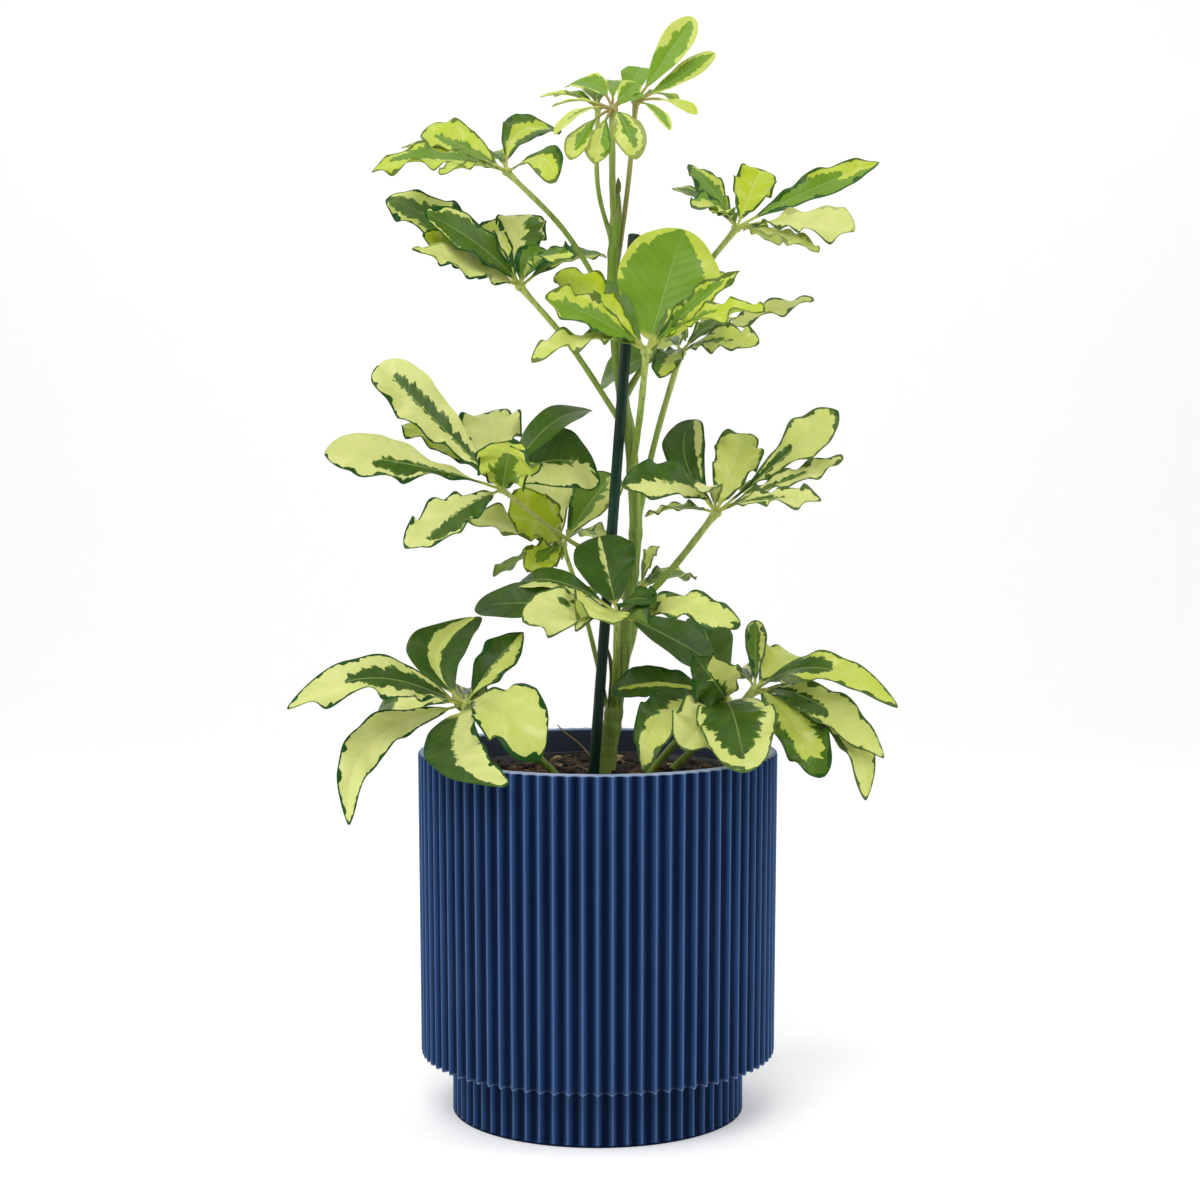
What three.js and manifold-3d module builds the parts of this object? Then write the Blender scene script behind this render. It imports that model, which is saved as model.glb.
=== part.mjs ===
// A potted variegated umbrella plant: a fluted planter, the grow pot and the soil inside it, a support
// stake, the main stem, and one node for each leaf. An umbrella plant's leaf is a stalk that ends in a
// hub with a ring of leaflets, and all of it grew as one piece.
// Millimetres, +Z up. The origin is the centre of the planter's foot, on the floor. The front is -Y.
import * as THREE from 'three';
import { mergeVertices } from 'three/addons/utils/BufferGeometryUtils.js';
import Module from 'manifold-3d';

// ---- driving dimensions ----

const clearance = 0.3; // gap between two pieces that touch

const planter = {
  height: 201.5,
  rimRadius: 100, // over the ridges
  bodyBottomRadius: 98.9,
  bodyBottom: 32.3,
  bodyFlutes: 80,
  footRadius: 81.4,
  footFlutes: 64,
  fluteDepth: 2.4,
  cavityRadius: 92,
  floor: 39, // ledge that the grow pot stands on
  wellRadius: 58, // hollow of the foot, below the ledge
  wellFloor: 8,
};

const growPot = {
  height: 150,
  baseRadius: 64,
  rimRadius: 85,
  lipDepth: 9, // height of the turned-out lip
  lipStep: 2.4, // how far the lip stands out of the wall
  wall: 1.6,
};

const soilTop = 186;
const soilSwell = 2.2; // height of the soil's lumps

const stake = { radius: 3, capRadius: 3.4, capLength: 9, bottom: [-11.4, -9, 68], top: [20, -9, 486] };

const stemDepth = 120; // lowest point of the stem, in the soil
const stemSides = 8;

// The stem's centre line and half its thickness at each point.
const stemLine = [
  [4.6, 0, stemDepth, 4.8],
  [5.4, 0, 190, 5.1],
  [7.8, 0, 215, 4.8],
  [14.2, 0, 255, 3.9],
  [18.6, 0, 295, 3.7],
  [21, 0, 329, 3.5],
  [18, 0, 374, 3.3],
  [13, 0, 401, 3.1],
  [10, 0, 426, 2.9],
  [8, 0, 455, 2.7],
  [8.8, 0.3, 484, 2.8],
  [8.8, -0.6, 503, 1.5],
];

const bladeThickness = 0.8;
const hubSwell = 2; // how far the hub stands out of the stalk
const leafStalk = { width: 1.5, thickness: 1.4, share: 0.1 }; // a leaflet's own short stalk
const blade = { stationGap: 19, fold: 14, waveHeight: 0.09, waves: 2.5, tipShare: 0.97 };
const petiole = { sides: 6, steps: 6, footSpread: 1.5, footShare: 0.12 };

const colours = {
  planter: 0x1c3d68,
  growPot: 0x101112,
  soil: 0x3a2a1c,
  stake: 0x14201a,
  stem: 0x6f8a3e,
  lime: 0xb9c94a,
  cream: 0xb4bf68,
  green: 0x74914a,
};

// Each leaf: the middle of its hub, the place on the stem or in the soil where its stalk starts, a point
// that the stalk bends past, half the stalk's thickness, its colour, and its leaflets.
// A leaflet: the x, y and z of its tip, its width, how high its midrib arches, its lean in degrees, from
// 0, facing up, to 90, facing the front, and how far its midrib bends sideways, if it does.
const leaves = {
  crown: {
    hub: [8, -8, 553], root: [9, 0, 490], bend: [8, -5, 516], stalk: 1.8, colour: 'lime',
    leaflets: [
      [-25, 5, 556, 9, 4, 15],
      [-17, 19, 569, 17, 5, 50, 5.5],
      [-23, -36, 536, 9, 6, 20],
      [-15, -33, 523, 14, 7, 45],
      [-2, -33, 521, 15, 8, 60],
      [21, -36, 523, 18, 8, 60],
      [9, 24, 573, 16, 3, 60],
      [22, 2, 568, 12, 3, 60],
      [25, -6, 561, 10, 2, 40],
    ],
  },
  crown_right: {
    hub: [21, 6, 559], root: [9, 0, 458], bend: [16, 6, 508], stalk: 1.4, colour: 'lime',
    leaflets: [
      [53, 21, 607, 18, 0, 75],
      [65, 23, 588, 13, -2, 60],
      [54, -12, 550, 9, 5, 45],
      [39, -22, 540, 8, 4, 20],
      [24.5, 27, 580.5, 17, 2, 75],
      [44, 36, 562, 14, 5, 20],
    ],
  },
  crown_left: {
    hub: [0, 14, 557], root: [8.4, 0.6, 480], bend: [0, 8, 514], stalk: 1.3, colour: 'lime',
    leaflets: [
      [-24, 44, 567, 11, 4, 20],
      [-8, 44, 574, 13, 4, 50],
      [-32, 18, 563, 10, 4, 20],
      [3, 46, 575, 12, 3, 60],
    ],
  },
  upper_left: {
    hub: [-50, 5, 521], root: [8, 0, 446], bend: [-18, 2, 488], stalk: 1.5, colour: 'lime',
    leaflets: [
      [-97, 32, 547, 26, 2, 55],
      [-122, -27, 519, 25, 6, 32],
      [-110, 32, 537, 15, 5, 20],
      [-23, 46, 549, 24, 5, 65, -11],
      [-22, -37, 511, 20, 6, 65, -8],
      [-83, -44, 514, 15, 4, 10],
      [-66, 62, 532, 18, 8, 0],
    ],
  },
  second_left: {
    hub: [-42, -12, 457], root: [17.5, 0, 376], bend: [-14, -6, 424], stalk: 1.6, colour: 'cream',
    leaflets: [
      [-116, 10, 507, 27, 4, 55],
      [-91, -59, 493, 23, 6, 60],
      [-96, -74, 473, 18, 2, 60],
      [-63, 21, 495, 16, 4, 80],
      [-43, 25, 499, 31, 4, 75],
      [-29, -8, 478, 17, 4, 62],
      [4, 29, 476, 17, 8, 35],
      [-13, -59, 469, 19, 8, 40],
      [-72, 48, 466, 20, 8, 0],
      [-92, -54, 481, 20, 0, 60],
    ],
  },
  upper_right: {
    hub: [77, 12, 491], root: [14, 0, 396], bend: [50, 7, 456], stalk: 1.6, colour: 'lime',
    leaflets: [
      [158, 33, 529, 19, 4, 60],
      [137, -35, 485, 27, 5, 45],
      [118, -35, 474, 14, 3, 25],
      [92, 41, 526, 25, 3, 75],
      [51, 47, 529, 15, 4, 45],
      [43, 57, 517, 13, 4, 20],
      [50, -29, 499, 18, 5, 50],
      [62, -31, 495, 14, 4, 30],
      [104, 70, 486, 18, 4, 0],
    ],
  },
  centre_front: {
    hub: [26, -42, 421], root: [19, 0, 356], bend: [23, -24, 388], stalk: 1.8, colour: 'green',
    leaflets: [
      [46, -24, 487, 55, -4, 85],
      [-27, -83, 447, 24, 4, 55],
      [-33, -93, 417, 17, 9, 35],
      [75, -60, 463, 14, 4, 55],
      [86, -88, 441, 20, 7, 35],
      [-22, -22, 464, 24, 5, 55],
      [68, -12, 465, 18, 5, 30],
      [0, -28, 459, 17, 2, 65],
    ],
  },
  centre_back: {
    hub: [46, 10, 422], root: [21, 0, 322], bend: [31, 7, 370], stalk: 1.7, colour: 'cream',
    leaflets: [
      [122, 37, 453, 15, 4, 30],
      [86, -34, 425, 21, 5, 50],
      [33, -36, 407, 16, 6, 50],
      [2, 60, 406, 25, 6, 60],
      [79, 58, 443, 16, 6, 35],
      [38, 82, 426, 22, 8, 10],
    ],
  },
  mid_left: {
    hub: [-52, -22, 347], root: [19, 0, 300], bend: [-18, -6, 320], stalk: 1.25, colour: 'cream',
    leaflets: [
      [-121, 2, 415, 29, 2, 60],
      [-143, -68, 367, 28, 3, 60],
      [-99, -83, 318, 25, 4, 55],
      [-62, 27, 389, 35, 5, 70],
      [-3, 22, 390, 20, 16, 40],
      [-46, -45, 374, 34, 5, 95],
      [-0.5, 2, 357, 38, 2, 75, -10],
      [-109, 29, 382, 22, 5, 30],
    ],
  },
  mid_left_back: {
    hub: [-20, 38, 314], root: [7.7, 0, 214], bend: [-6, 16, 272], stalk: 1.35, colour: 'cream',
    leaflets: [
      [-31, 82, 356, 30, 5, 75],
      [-47, -2, 345, 28, 6, 85],
      [-72, -9, 330, 21, 5, 50],
      [9, 82, 353, 27, 5, 60],
      [-38, -4, 301, 21, 4, 60],
      [-61, 84, 293, 14, 3, 0],
      [2, 104, 312, 22, 8, 0],
    ],
  },
  mid_right: {
    hub: [65, -10, 334], root: [16.6, 0, 276], bend: [42, -5, 304], stalk: 1.9, colour: 'cream',
    leaflets: [
      [53, 37, 385, 25, 6, 60, -10],
      [83, 21, 378, 27, 5, 75],
      [134, 17, 390, 24, -2, 65],
      [137, 19, 361, 13, 4, 45],
      [117, -64, 342, 17, 5, 40],
      [13, -52, 349, 28, 13, 50],
      [28, 42, 330, 14, 4, 30],
      [54, -59, 346, 15, 8, 30],
      [86, 58, 342, 22, 8, 0],
    ],
  },
  low_front: {
    hub: [10.5, -40, 281], root: [9, 0, 224], bend: [10, -21, 250], stalk: 1.9, colour: 'green',
    leaflets: [
      [1, -16, 321, 36, 2, 75],
      [-39, -84, 280, 28, 6, 55],
      [-45, 2, 293, 18, 12, 45],
      [-68, 1, 281, 25, 6, 52],
      [8, -90, 279, 46, 3, 28],
      [30, -79, 290, 18, 5, 50],
      [73, -90, 277, 21, 11, 45],
      [64, -18, 251, 25, 3, 55],
    ],
  },
  low_back: {
    hub: [24, 40, 288], root: [11.8, 0, 240], bend: [20, 20, 262], stalk: 1.5, colour: 'green',
    leaflets: [
      [33, 84, 311, 8, 4, 40],
      [51, 94, 290, 18, 6, 30],
      [56, 70, 293, 18, 5, 20],
      [18, 98, 276, 20, 8, 0],
      [-18, 84, 268, 18, 8, 0],
    ],
  },
  base_right_front: {
    hub: [70, -28, 232], root: [16, -12, 174], bend: [44, -18.5, 209], stalk: 2.1, colour: 'green',
    leaflets: [
      [8, -20, 237, 21, 12, 50],
      [24, -73, 200, 27, 10, 55, 13],
      [45, -72, 211, 33, 8, 60],
      [77, -91, 202, 42, 10, 60],
      [51, -55, 260, 31, 8, 80],
      [57, 24, 274, 28, 6, 60],
    ],
  },
  base_right: {
    hub: [88, 8, 234], root: [25, 3, 174], bend: [54, 6, 201.5], stalk: 2.1, colour: 'cream',
    leaflets: [
      [90, 35, 271, 13, 3, 60],
      [110, 49, 251, 24, 5, 55],
      [161, -48, 231, 21, 24, 48],
      [154, -45, 203, 24, 18, 50],
      [145, -43, 180, 21, 16, 48, -12],
      [121, -47, 193, 30, 14, 50],
      [157, 15, 197, 20, 16, 45],
      [118, 72, 222, 24, 12, 10],
      [74, 80, 226, 22, 12, 0],
    ],
  },
  base_left: {
    hub: [-72, -25, 230], root: [-11, -17, 174], bend: [-31, -20.5, 198.5], stalk: 2.1, colour: 'cream',
    leaflets: [
      [-162, -76, 235, 27, 23, 52],
      [-131, -76, 172, 24, 12, 52, 18],
      [-48, -100, 196, 32, 3, 60, 17],
      [-30, -77, 207, 38, 16, 55, -4],
      [-74, 10, 273, 37, 3, 75, -16],
      [-41, -10, 268, 22, 5, 55],
      [-125, 26, 219, 24, 10, 60],
      [-74, 50, 214, 22, 12, 0],
    ],
  },
};

// ---- solids ----

const wasm = await Module();
wasm.setup();

function toSolid(geometry) {
  const bare = geometry.clone();
  bare.deleteAttribute('normal');
  bare.deleteAttribute('uv');
  const merged = mergeVertices(bare, 1e-4);
  return new wasm.Manifold(new wasm.Mesh({
    numProp: 3,
    vertProperties: new Float32Array(merged.attributes.position.array),
    triVerts: new Uint32Array(merged.index.array),
  }));
}

function toGeometry(solid) {
  const mesh = solid.getMesh();
  const geometry = new THREE.BufferGeometry();
  geometry.setAttribute('position', new THREE.BufferAttribute(new Float32Array(mesh.vertProperties), 3));
  geometry.setIndex(new THREE.BufferAttribute(new Uint32Array(mesh.triVerts), 1));
  geometry.computeVertexNormals();
  return geometry;
}

function vector([x, y, z]) {
  return new THREE.Vector3(x, y, z);
}

// Rings with the same number of points, joined one to the next and closed by a fan at both ends.
function loft(rings) {
  const count = rings[0].length;
  const points = rings.flat();
  const faces = [];
  for (let ring = 0; ring + 1 < rings.length; ring += 1) {
    for (let i = 0; i < count; i += 1) {
      const a = ring * count + i;
      const b = ring * count + ((i + 1) % count);
      faces.push(a, b, b + count, a, b + count, a + count);
    }
  }
  const ends = [[0, rings[0]], [(rings.length - 1) * count, rings.at(-1)]];
  ends.forEach(([first, ring], end) => {
    const middle = points.length;
    points.push(ring.reduce((sum, point) => sum.add(point), new THREE.Vector3()).divideScalar(count));
    for (let i = 0; i < count; i += 1) {
      const pair = [first + i, first + ((i + 1) % count)];
      faces.push(middle, pair[1 - end], pair[end]);
    }
  });
  const geometry = new THREE.BufferGeometry().setFromPoints(points);
  geometry.setIndex(faces);
  return geometry;
}

// A round rod along a line of points, with its own half thickness at each point.
function taperedRod(centres, radii, sides) {
  const curve = new THREE.CatmullRomCurve3(centres);
  const rings = centres.map((centre, i) => {
    const along = curve.getTangent(i / (centres.length - 1));
    const across = new THREE.Vector3(0, 1, 0).cross(along).normalize();
    const over = along.clone().cross(across);
    return Array.from({ length: sides }, (_, k) => {
      const turn = (2 * Math.PI * k) / sides;
      return centre.clone()
        .addScaledVector(across, radii[i] * Math.cos(turn))
        .addScaledVector(over, radii[i] * Math.sin(turn));
    });
  });
  return loft(rings);
}

// ---- planter ----

// One level of the fluted wall: each flute is a narrow ridge and a flat-bottomed groove.
function flutedRing(flutes, ridgeRadius, z) {
  const flute = [[-0.13, 0], [0.13, 0], [0.35, 1], [0.65, 1]]; // share of the pitch, share of the depth
  return Array.from({ length: flutes }, (_, i) => flute.map(([share, deep]) => {
    const turn = (2 * Math.PI * (i + share)) / flutes;
    const radius = ridgeRadius - deep * planter.fluteDepth;
    return new THREE.Vector3(radius * Math.cos(turn), radius * Math.sin(turn), z);
  })).flat();
}

function planterGeometry() {
  const body = toSolid(loft([
    flutedRing(planter.bodyFlutes, planter.bodyBottomRadius, planter.bodyBottom),
    flutedRing(planter.bodyFlutes, planter.rimRadius, planter.height),
  ]));
  const foot = toSolid(loft([
    flutedRing(planter.footFlutes, planter.footRadius, 0),
    flutedRing(planter.footFlutes, planter.footRadius, planter.floor - 1),
  ]));
  const above = planter.height + 1;
  const cavity = toSolid(new THREE.LatheGeometry([
    new THREE.Vector2(0, planter.wellFloor),
    new THREE.Vector2(planter.wellRadius, planter.wellFloor),
    new THREE.Vector2(planter.wellRadius, planter.floor),
    new THREE.Vector2(planter.cavityRadius, planter.floor),
    new THREE.Vector2(planter.cavityRadius, above),
    new THREE.Vector2(0, above),
  ], 64).rotateX(Math.PI / 2));
  return toGeometry(body.add(foot).subtract(cavity));
}

// ---- grow pot ----

const potBottom = planter.floor + clearance;
const potTop = potBottom + growPot.height;

// The wall's outer radius below the lip, at a height z.
function potRadius(z) {
  const topRadius = growPot.rimRadius - growPot.lipStep;
  return growPot.baseRadius + ((topRadius - growPot.baseRadius) * (z - potBottom)) / growPot.height;
}

function growPotGeometry() {
  const lipBottom = potTop - growPot.lipDepth;
  const insideFloor = potBottom + growPot.wall;
  return new THREE.LatheGeometry([
    new THREE.Vector2(0, potBottom),
    new THREE.Vector2(growPot.baseRadius, potBottom),
    new THREE.Vector2(potRadius(lipBottom), lipBottom),
    new THREE.Vector2(growPot.rimRadius, lipBottom),
    new THREE.Vector2(growPot.rimRadius, potTop),
    new THREE.Vector2(potRadius(potTop) - growPot.wall, potTop),
    new THREE.Vector2(potRadius(insideFloor) - growPot.wall, insideFloor),
    new THREE.Vector2(0, insideFloor),
  ], 40).rotateX(Math.PI / 2);
}

// ---- stem and stake ----

// The stem and the space that it needs are the same rod, the second a little thicker and longer.
function stemGeometry(extra = 0) {
  const centres = stemLine.map(([x, y, z]) => new THREE.Vector3(x, y, z));
  centres[0].z -= extra;
  centres.at(-1).z += extra;
  return taperedRod(centres, stemLine.map((row) => row[3] + extra), stemSides);
}

function stakeGeometry(extra = 0) {
  const bottom = vector(stake.bottom);
  const top = vector(stake.top);
  const along = top.clone().sub(bottom).normalize();
  const capStart = top.clone().addScaledVector(along, -stake.capLength);
  const centres = [
    bottom.clone().addScaledVector(along, -extra),
    capStart,
    capStart.clone().addScaledVector(along, 1),
    top.clone().addScaledVector(along, -1.5),
    top,
  ];
  const radii = [stake.radius, stake.radius, stake.capRadius, stake.capRadius, stake.capRadius - 1.5];
  return taperedRod(centres, radii.map((radius) => radius + extra), 10);
}

// ---- leaves ----

// Half the width of a blade at a share of its length: narrow at the base, widest past the middle.
function halfWidth(share, width) {
  return Math.max(leafStalk.width / 2, (width / 2) * Math.sin(Math.PI * share ** 1.5) ** 0.6);
}

// A leaflet's midrib arches over the straight line from the hub to the tip. Its two halves fold up from
// the midrib, and their edges wave up and down in turn.
function leafletGeometry(hub, leaflet, phase) {
  const [tipX, tipY, tipZ, width, arch, lean, bend = 0] = leaflet;
  const reach = new THREE.Vector3(tipX, tipY, tipZ).sub(hub);
  const length = reach.length();
  const along = reach.clone().normalize();
  const leanTurn = THREE.MathUtils.degToRad(lean);
  const face = new THREE.Vector3(0, -Math.sin(leanTurn), Math.cos(leanTurn));
  const up = face.addScaledVector(along, -face.dot(along)).normalize();
  const side = along.clone().cross(up);
  const steps = THREE.MathUtils.clamp(Math.round(length / blade.stationGap), 3, 5);
  const foldTurn = THREE.MathUtils.degToRad(blade.fold);
  const rings = [];
  for (let step = -1; step <= steps; step += 1) {
    const share = blade.tipShare * (Math.max(0, step) / steps) ** 0.85;
    const reached = step < 0 ? 0 : leafStalk.share + (1 - leafStalk.share) * share;
    const middle = hub.clone()
      .addScaledVector(along, length * reached)
      .addScaledVector(up, arch * 4 * reached * (1 - reached))
      .addScaledVector(side, bend * 4 * reached * (1 - reached));
    const half = halfWidth(share, width);
    const wave = (sign) => width * blade.waveHeight * Math.min(1, 3 * share)
      * Math.sin(2 * Math.PI * blade.waves * share + phase + (sign > 0 ? 1.9 : 0));
    const edge = (sign) => middle.clone()
      .addScaledVector(side, sign * half * Math.cos(foldTurn))
      .addScaledVector(up, half * Math.sin(foldTurn) + wave(sign));
    const thick = share > 0 ? bladeThickness : leafStalk.thickness;
    const top = [edge(1), middle, edge(-1)].map((point) => point.clone().addScaledVector(up, thick / 2));
    const bottom = [edge(-1), middle, edge(1)].map((point) => point.clone().addScaledVector(up, -thick / 2));
    rings.push([...top, ...bottom]);
  }
  return bladeLoft(rings);
}

// Six points a ring: three along the upper face and the same three, back again, along the lower one.
// Both faces are split along matching diagonals, so a waved blade keeps its thickness.
function bladeLoft(rings) {
  const points = rings.flat();
  const faces = [];
  const square = (a, b, c, d, flip) => {
    faces.push(...(flip ? [a, b, d, b, c, d] : [a, b, c, a, c, d]));
  };
  for (let ring = 0; ring + 1 < rings.length; ring += 1) {
    for (let i = 0; i < 6; i += 1) {
      const a = ring * 6 + i;
      const b = ring * 6 + ((i + 1) % 6);
      square(a, a + 6, b + 6, b, i === 3 || i === 4);
    }
  }
  const last = (rings.length - 1) * 6;
  [[0, 1, 4, 5], [1, 2, 3, 4]].forEach(([a, b, c, d]) => {
    square(a, b, c, d, false);
    square(last + d, last + c, last + b, last + a, true);
  });
  const geometry = new THREE.BufferGeometry().setFromPoints(points);
  geometry.setIndex(faces);
  return geometry;
}

function petioleGeometry(leaf, extra = 0) {
  const curve = new THREE.CatmullRomCurve3([vector(leaf.root), vector(leaf.bend), vector(leaf.hub)]);
  const centres = curve.getPoints(petiole.steps);
  const radii = centres.map((_, i) => {
    const foot = Math.max(0, 1 - i / petiole.steps / petiole.footShare);
    return leaf.stalk * (1 + (petiole.footSpread - 1) * foot) + extra;
  });
  return taperedRod(centres, radii, petiole.sides);
}

// The stalk, the hub and the leaflets as one body, cut clear of the stem and of the stake.
function leafSolid(leaf, number) {
  const hub = vector(leaf.hub);
  const knob = new THREE.IcosahedronGeometry(leaf.stalk + hubSwell).translate(...leaf.hub);
  const pieces = leaf.leaflets.map((row, i) => toSolid(leafletGeometry(hub, row, 2.4 * (i + number))));
  const held = toSolid(petioleGeometry(leaf)).add(toSolid(knob));
  const whole = pieces.reduce((sum, piece) => sum.add(piece), held);
  const clear = whole.subtract(stemSpace).subtract(stakeSpace);
  return clear.decompose().sort((a, b) => b.volume() - a.volume())[0];
}

// ---- soil ----

function soilGeometry() {
  const rings = [];
  const sectors = 32;
  const bottom = potBottom + growPot.wall + clearance;
  const ringAt = (radius, height) => Array.from({ length: sectors }, (_, i) => {
    const turn = (2 * Math.PI * i) / sectors;
    return new THREE.Vector3(radius * Math.cos(turn), radius * Math.sin(turn), height(turn, radius));
  });
  const inside = (z) => potRadius(z) - growPot.wall - clearance - 0.4;
  rings.push(ringAt(inside(bottom), () => bottom));
  const lumps = (turn, radius) => soilTop
    + soilSwell * Math.sin(3 * turn + radius * 0.09) * Math.cos(radius * 0.11 + turn);
  const edge = inside(soilTop - soilSwell);
  rings.push(ringAt(edge, lumps));
  [0.8, 0.55, 0.3, 0.12].forEach((share) => rings.push(ringAt(edge * share, lumps)));
  let soil = toSolid(loft(rings));
  const buried = Object.values(leaves).filter((leaf) => leaf.root[2] < soilTop);
  const spaces = [stemSpace, stakeSpace, ...buried.map((leaf) => toSolid(petioleGeometry(leaf, clearance)))];
  spaces.forEach((space) => {
    soil = soil.subtract(space);
  });
  return toGeometry(soil);
}

// ---- the whole ----

const stemSpace = toSolid(stemGeometry(clearance));
const stakeSpace = toSolid(stakeGeometry(clearance));

const plant = new THREE.Group();

function addPiece(name, geometry, colour, roughness) {
  const material = new THREE.MeshStandardMaterial({ color: colours[colour], roughness, metalness: 0 });
  const mesh = new THREE.Mesh(geometry, material);
  mesh.name = name;
  plant.add(mesh);
}

addPiece('planter', planterGeometry(), 'planter', 0.45);
addPiece('grow_pot', growPotGeometry(), 'growPot', 0.5);
addPiece('soil', soilGeometry(), 'soil', 0.95);
addPiece('stake', stakeGeometry(), 'stake', 0.4);
addPiece('stem', stemGeometry(), 'stem', 0.6);
Object.entries(leaves).forEach(([name, leaf], number) => {
  addPiece(`frond_${name}`, toGeometry(leafSolid(leaf, number)), leaf.colour, 0.4);
});

export default plant;
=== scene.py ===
import bpy
import numpy as np
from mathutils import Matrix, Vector


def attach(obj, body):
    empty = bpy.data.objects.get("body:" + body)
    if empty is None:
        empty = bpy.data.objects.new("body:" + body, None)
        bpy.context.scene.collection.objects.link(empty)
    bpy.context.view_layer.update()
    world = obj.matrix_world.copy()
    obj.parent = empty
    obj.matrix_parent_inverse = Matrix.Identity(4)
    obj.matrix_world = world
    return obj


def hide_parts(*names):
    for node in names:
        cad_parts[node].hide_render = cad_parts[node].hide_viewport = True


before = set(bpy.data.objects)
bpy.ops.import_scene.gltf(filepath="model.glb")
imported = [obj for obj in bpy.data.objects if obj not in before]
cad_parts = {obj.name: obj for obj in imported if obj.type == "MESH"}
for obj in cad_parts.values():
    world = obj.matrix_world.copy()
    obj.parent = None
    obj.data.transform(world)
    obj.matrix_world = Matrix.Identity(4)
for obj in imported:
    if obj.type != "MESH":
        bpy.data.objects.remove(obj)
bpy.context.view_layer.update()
scene = bpy.context.scene
scene.view_settings.view_transform = "Standard"
mm = 0.001  # every shape below is worked out in millimetres
turnRound = 2 * np.pi


camera = dict(
    place=(1.26, -1306, 380.2),
    tiltDown=4.161,  # degrees
    lens=70.8,
    sensor=36,
    farthest=50,  # metres
)

stage = dict(
    halfWidth=4000,
    front=-3200,
    wallFoot=1500,  # where the floor starts to curve up
    curve=900,
    wallTop=3600,
    colour=(250, 250, 249),
    lift=0.19,  # light that the backdrop gives off by itself
    sky=0.31,
)

lights = dict(  # where each lamp is, its two sides, its watts and the point that it faces
    key=dict(place=(-450, -1500, 1900), sides=(1400, 1400), watts=28, aim=(0, 0, 280)),
    left=dict(place=(-1700, -300, 700), sides=(700, 1900), watts=13, aim=(0, 0, 250)),
    right=dict(place=(1700, -400, 800), sides=(700, 1900), watts=13, aim=(0, 0, 250)),
    top=dict(place=(0, 200, 2300), sides=(1800, 1800), watts=13, aim=(0, 0, 200)),
)


def addObject(name, data, place=(0, 0, 0)):
    item = bpy.data.objects.new(name, data)
    item.location = Vector(place) * mm
    scene.collection.objects.link(item)
    return item


def addCamera():
    data = bpy.data.cameras.new("camera")
    data.lens = camera["lens"]
    data.sensor_width = camera["sensor"]
    data.clip_end = camera["farthest"]
    scene.camera = addObject("camera", data, camera["place"])
    scene.camera.rotation_euler = (np.radians(90 - camera["tiltDown"]), 0, 0)


def addLights():
    for name, lamp in lights.items():
        data = bpy.data.lights.new(name, "AREA")
        data.shape = "RECTANGLE"
        data.size, data.size_y = [side * mm for side in lamp["sides"]]
        data.energy = lamp["watts"]
        towards = Vector(lamp["aim"]) - Vector(lamp["place"])
        turn = towards.to_track_quat("-Z", "Y")
        addObject(name, data, lamp["place"]).rotation_euler = turn.to_euler()
    world = bpy.data.worlds.new("world")
    world.use_nodes = True
    sky = world.node_tree.nodes["Background"]
    sky.inputs["Color"].default_value = (1, 1, 1, 1)
    sky.inputs["Strength"].default_value = stage["sky"]
    scene.world = world


def unit(vectors):
    return vectors / np.linalg.norm(vectors, axis=-1, keepdims=True)


def smoothStep(low, high, value):
    t = np.clip((value - low) / (high - low), 0, 1)
    return t * t * (3 - 2 * t)


def around(count):
    # A row of angles, evenly spaced round a circle.
    return np.linspace(0, turnRound, count, endpoint=False)[None]


def triple(x, y, z):
    # Three fields as the three numbers of each point. The smaller ones are stretched to fit.
    return np.stack(np.broadcast_arrays(x, y, z), -1).astype(float)


def turned(radius, height, turn):
    # Points round the upright axis: (radius cos turn, radius sin turn, height).
    return triple(radius * np.cos(turn), radius * np.sin(turn), height)


def rings(grid, marks={}):
    # Rows of points make a tube: each row is a closed ring, and a fan closes each end.
    rows, columns, _ = grid.shape
    r, c = np.meshgrid(np.arange(rows - 1), np.arange(columns), indexing="ij")
    after = (c + 1) % columns
    here, above = r * columns, (r + 1) * columns
    quads = np.stack([here + c, here + after, above + after, above + c], -1)
    ring = np.arange(columns)
    last = (rows - 1) * columns + ring
    start = np.stack([np.roll(ring, -1), ring, np.full(columns, rows * columns)], -1)
    end = np.stack([last, np.roll(last, -1), np.full(columns, rows * columns + 1)], -1)

    def withMiddles(field):
        return np.concatenate([field.reshape(-1, 3), field[:1].mean(1), field[-1:].mean(1)])

    points = withMiddles(grid)
    quads = quads.reshape(-1, 4)
    triangles = np.concatenate([start, end])
    halves = np.concatenate([triangles, quads[:, [0, 1, 2]], quads[:, [0, 2, 3]]])
    a, b, c = [points[halves[:, k]] - points[0] for k in range(3)]
    if np.einsum("ij,ij->i", a, np.cross(b, c)).sum() < 0:  # inside out
        quads, triangles = quads[:, ::-1], triangles[:, ::-1]
    marks = {name: withMiddles(np.broadcast_to(field, grid.shape)) for name, field in marks.items()}
    return dict(points=points, quads=quads, triangles=triangles, marks=marks, material=0)


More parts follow.
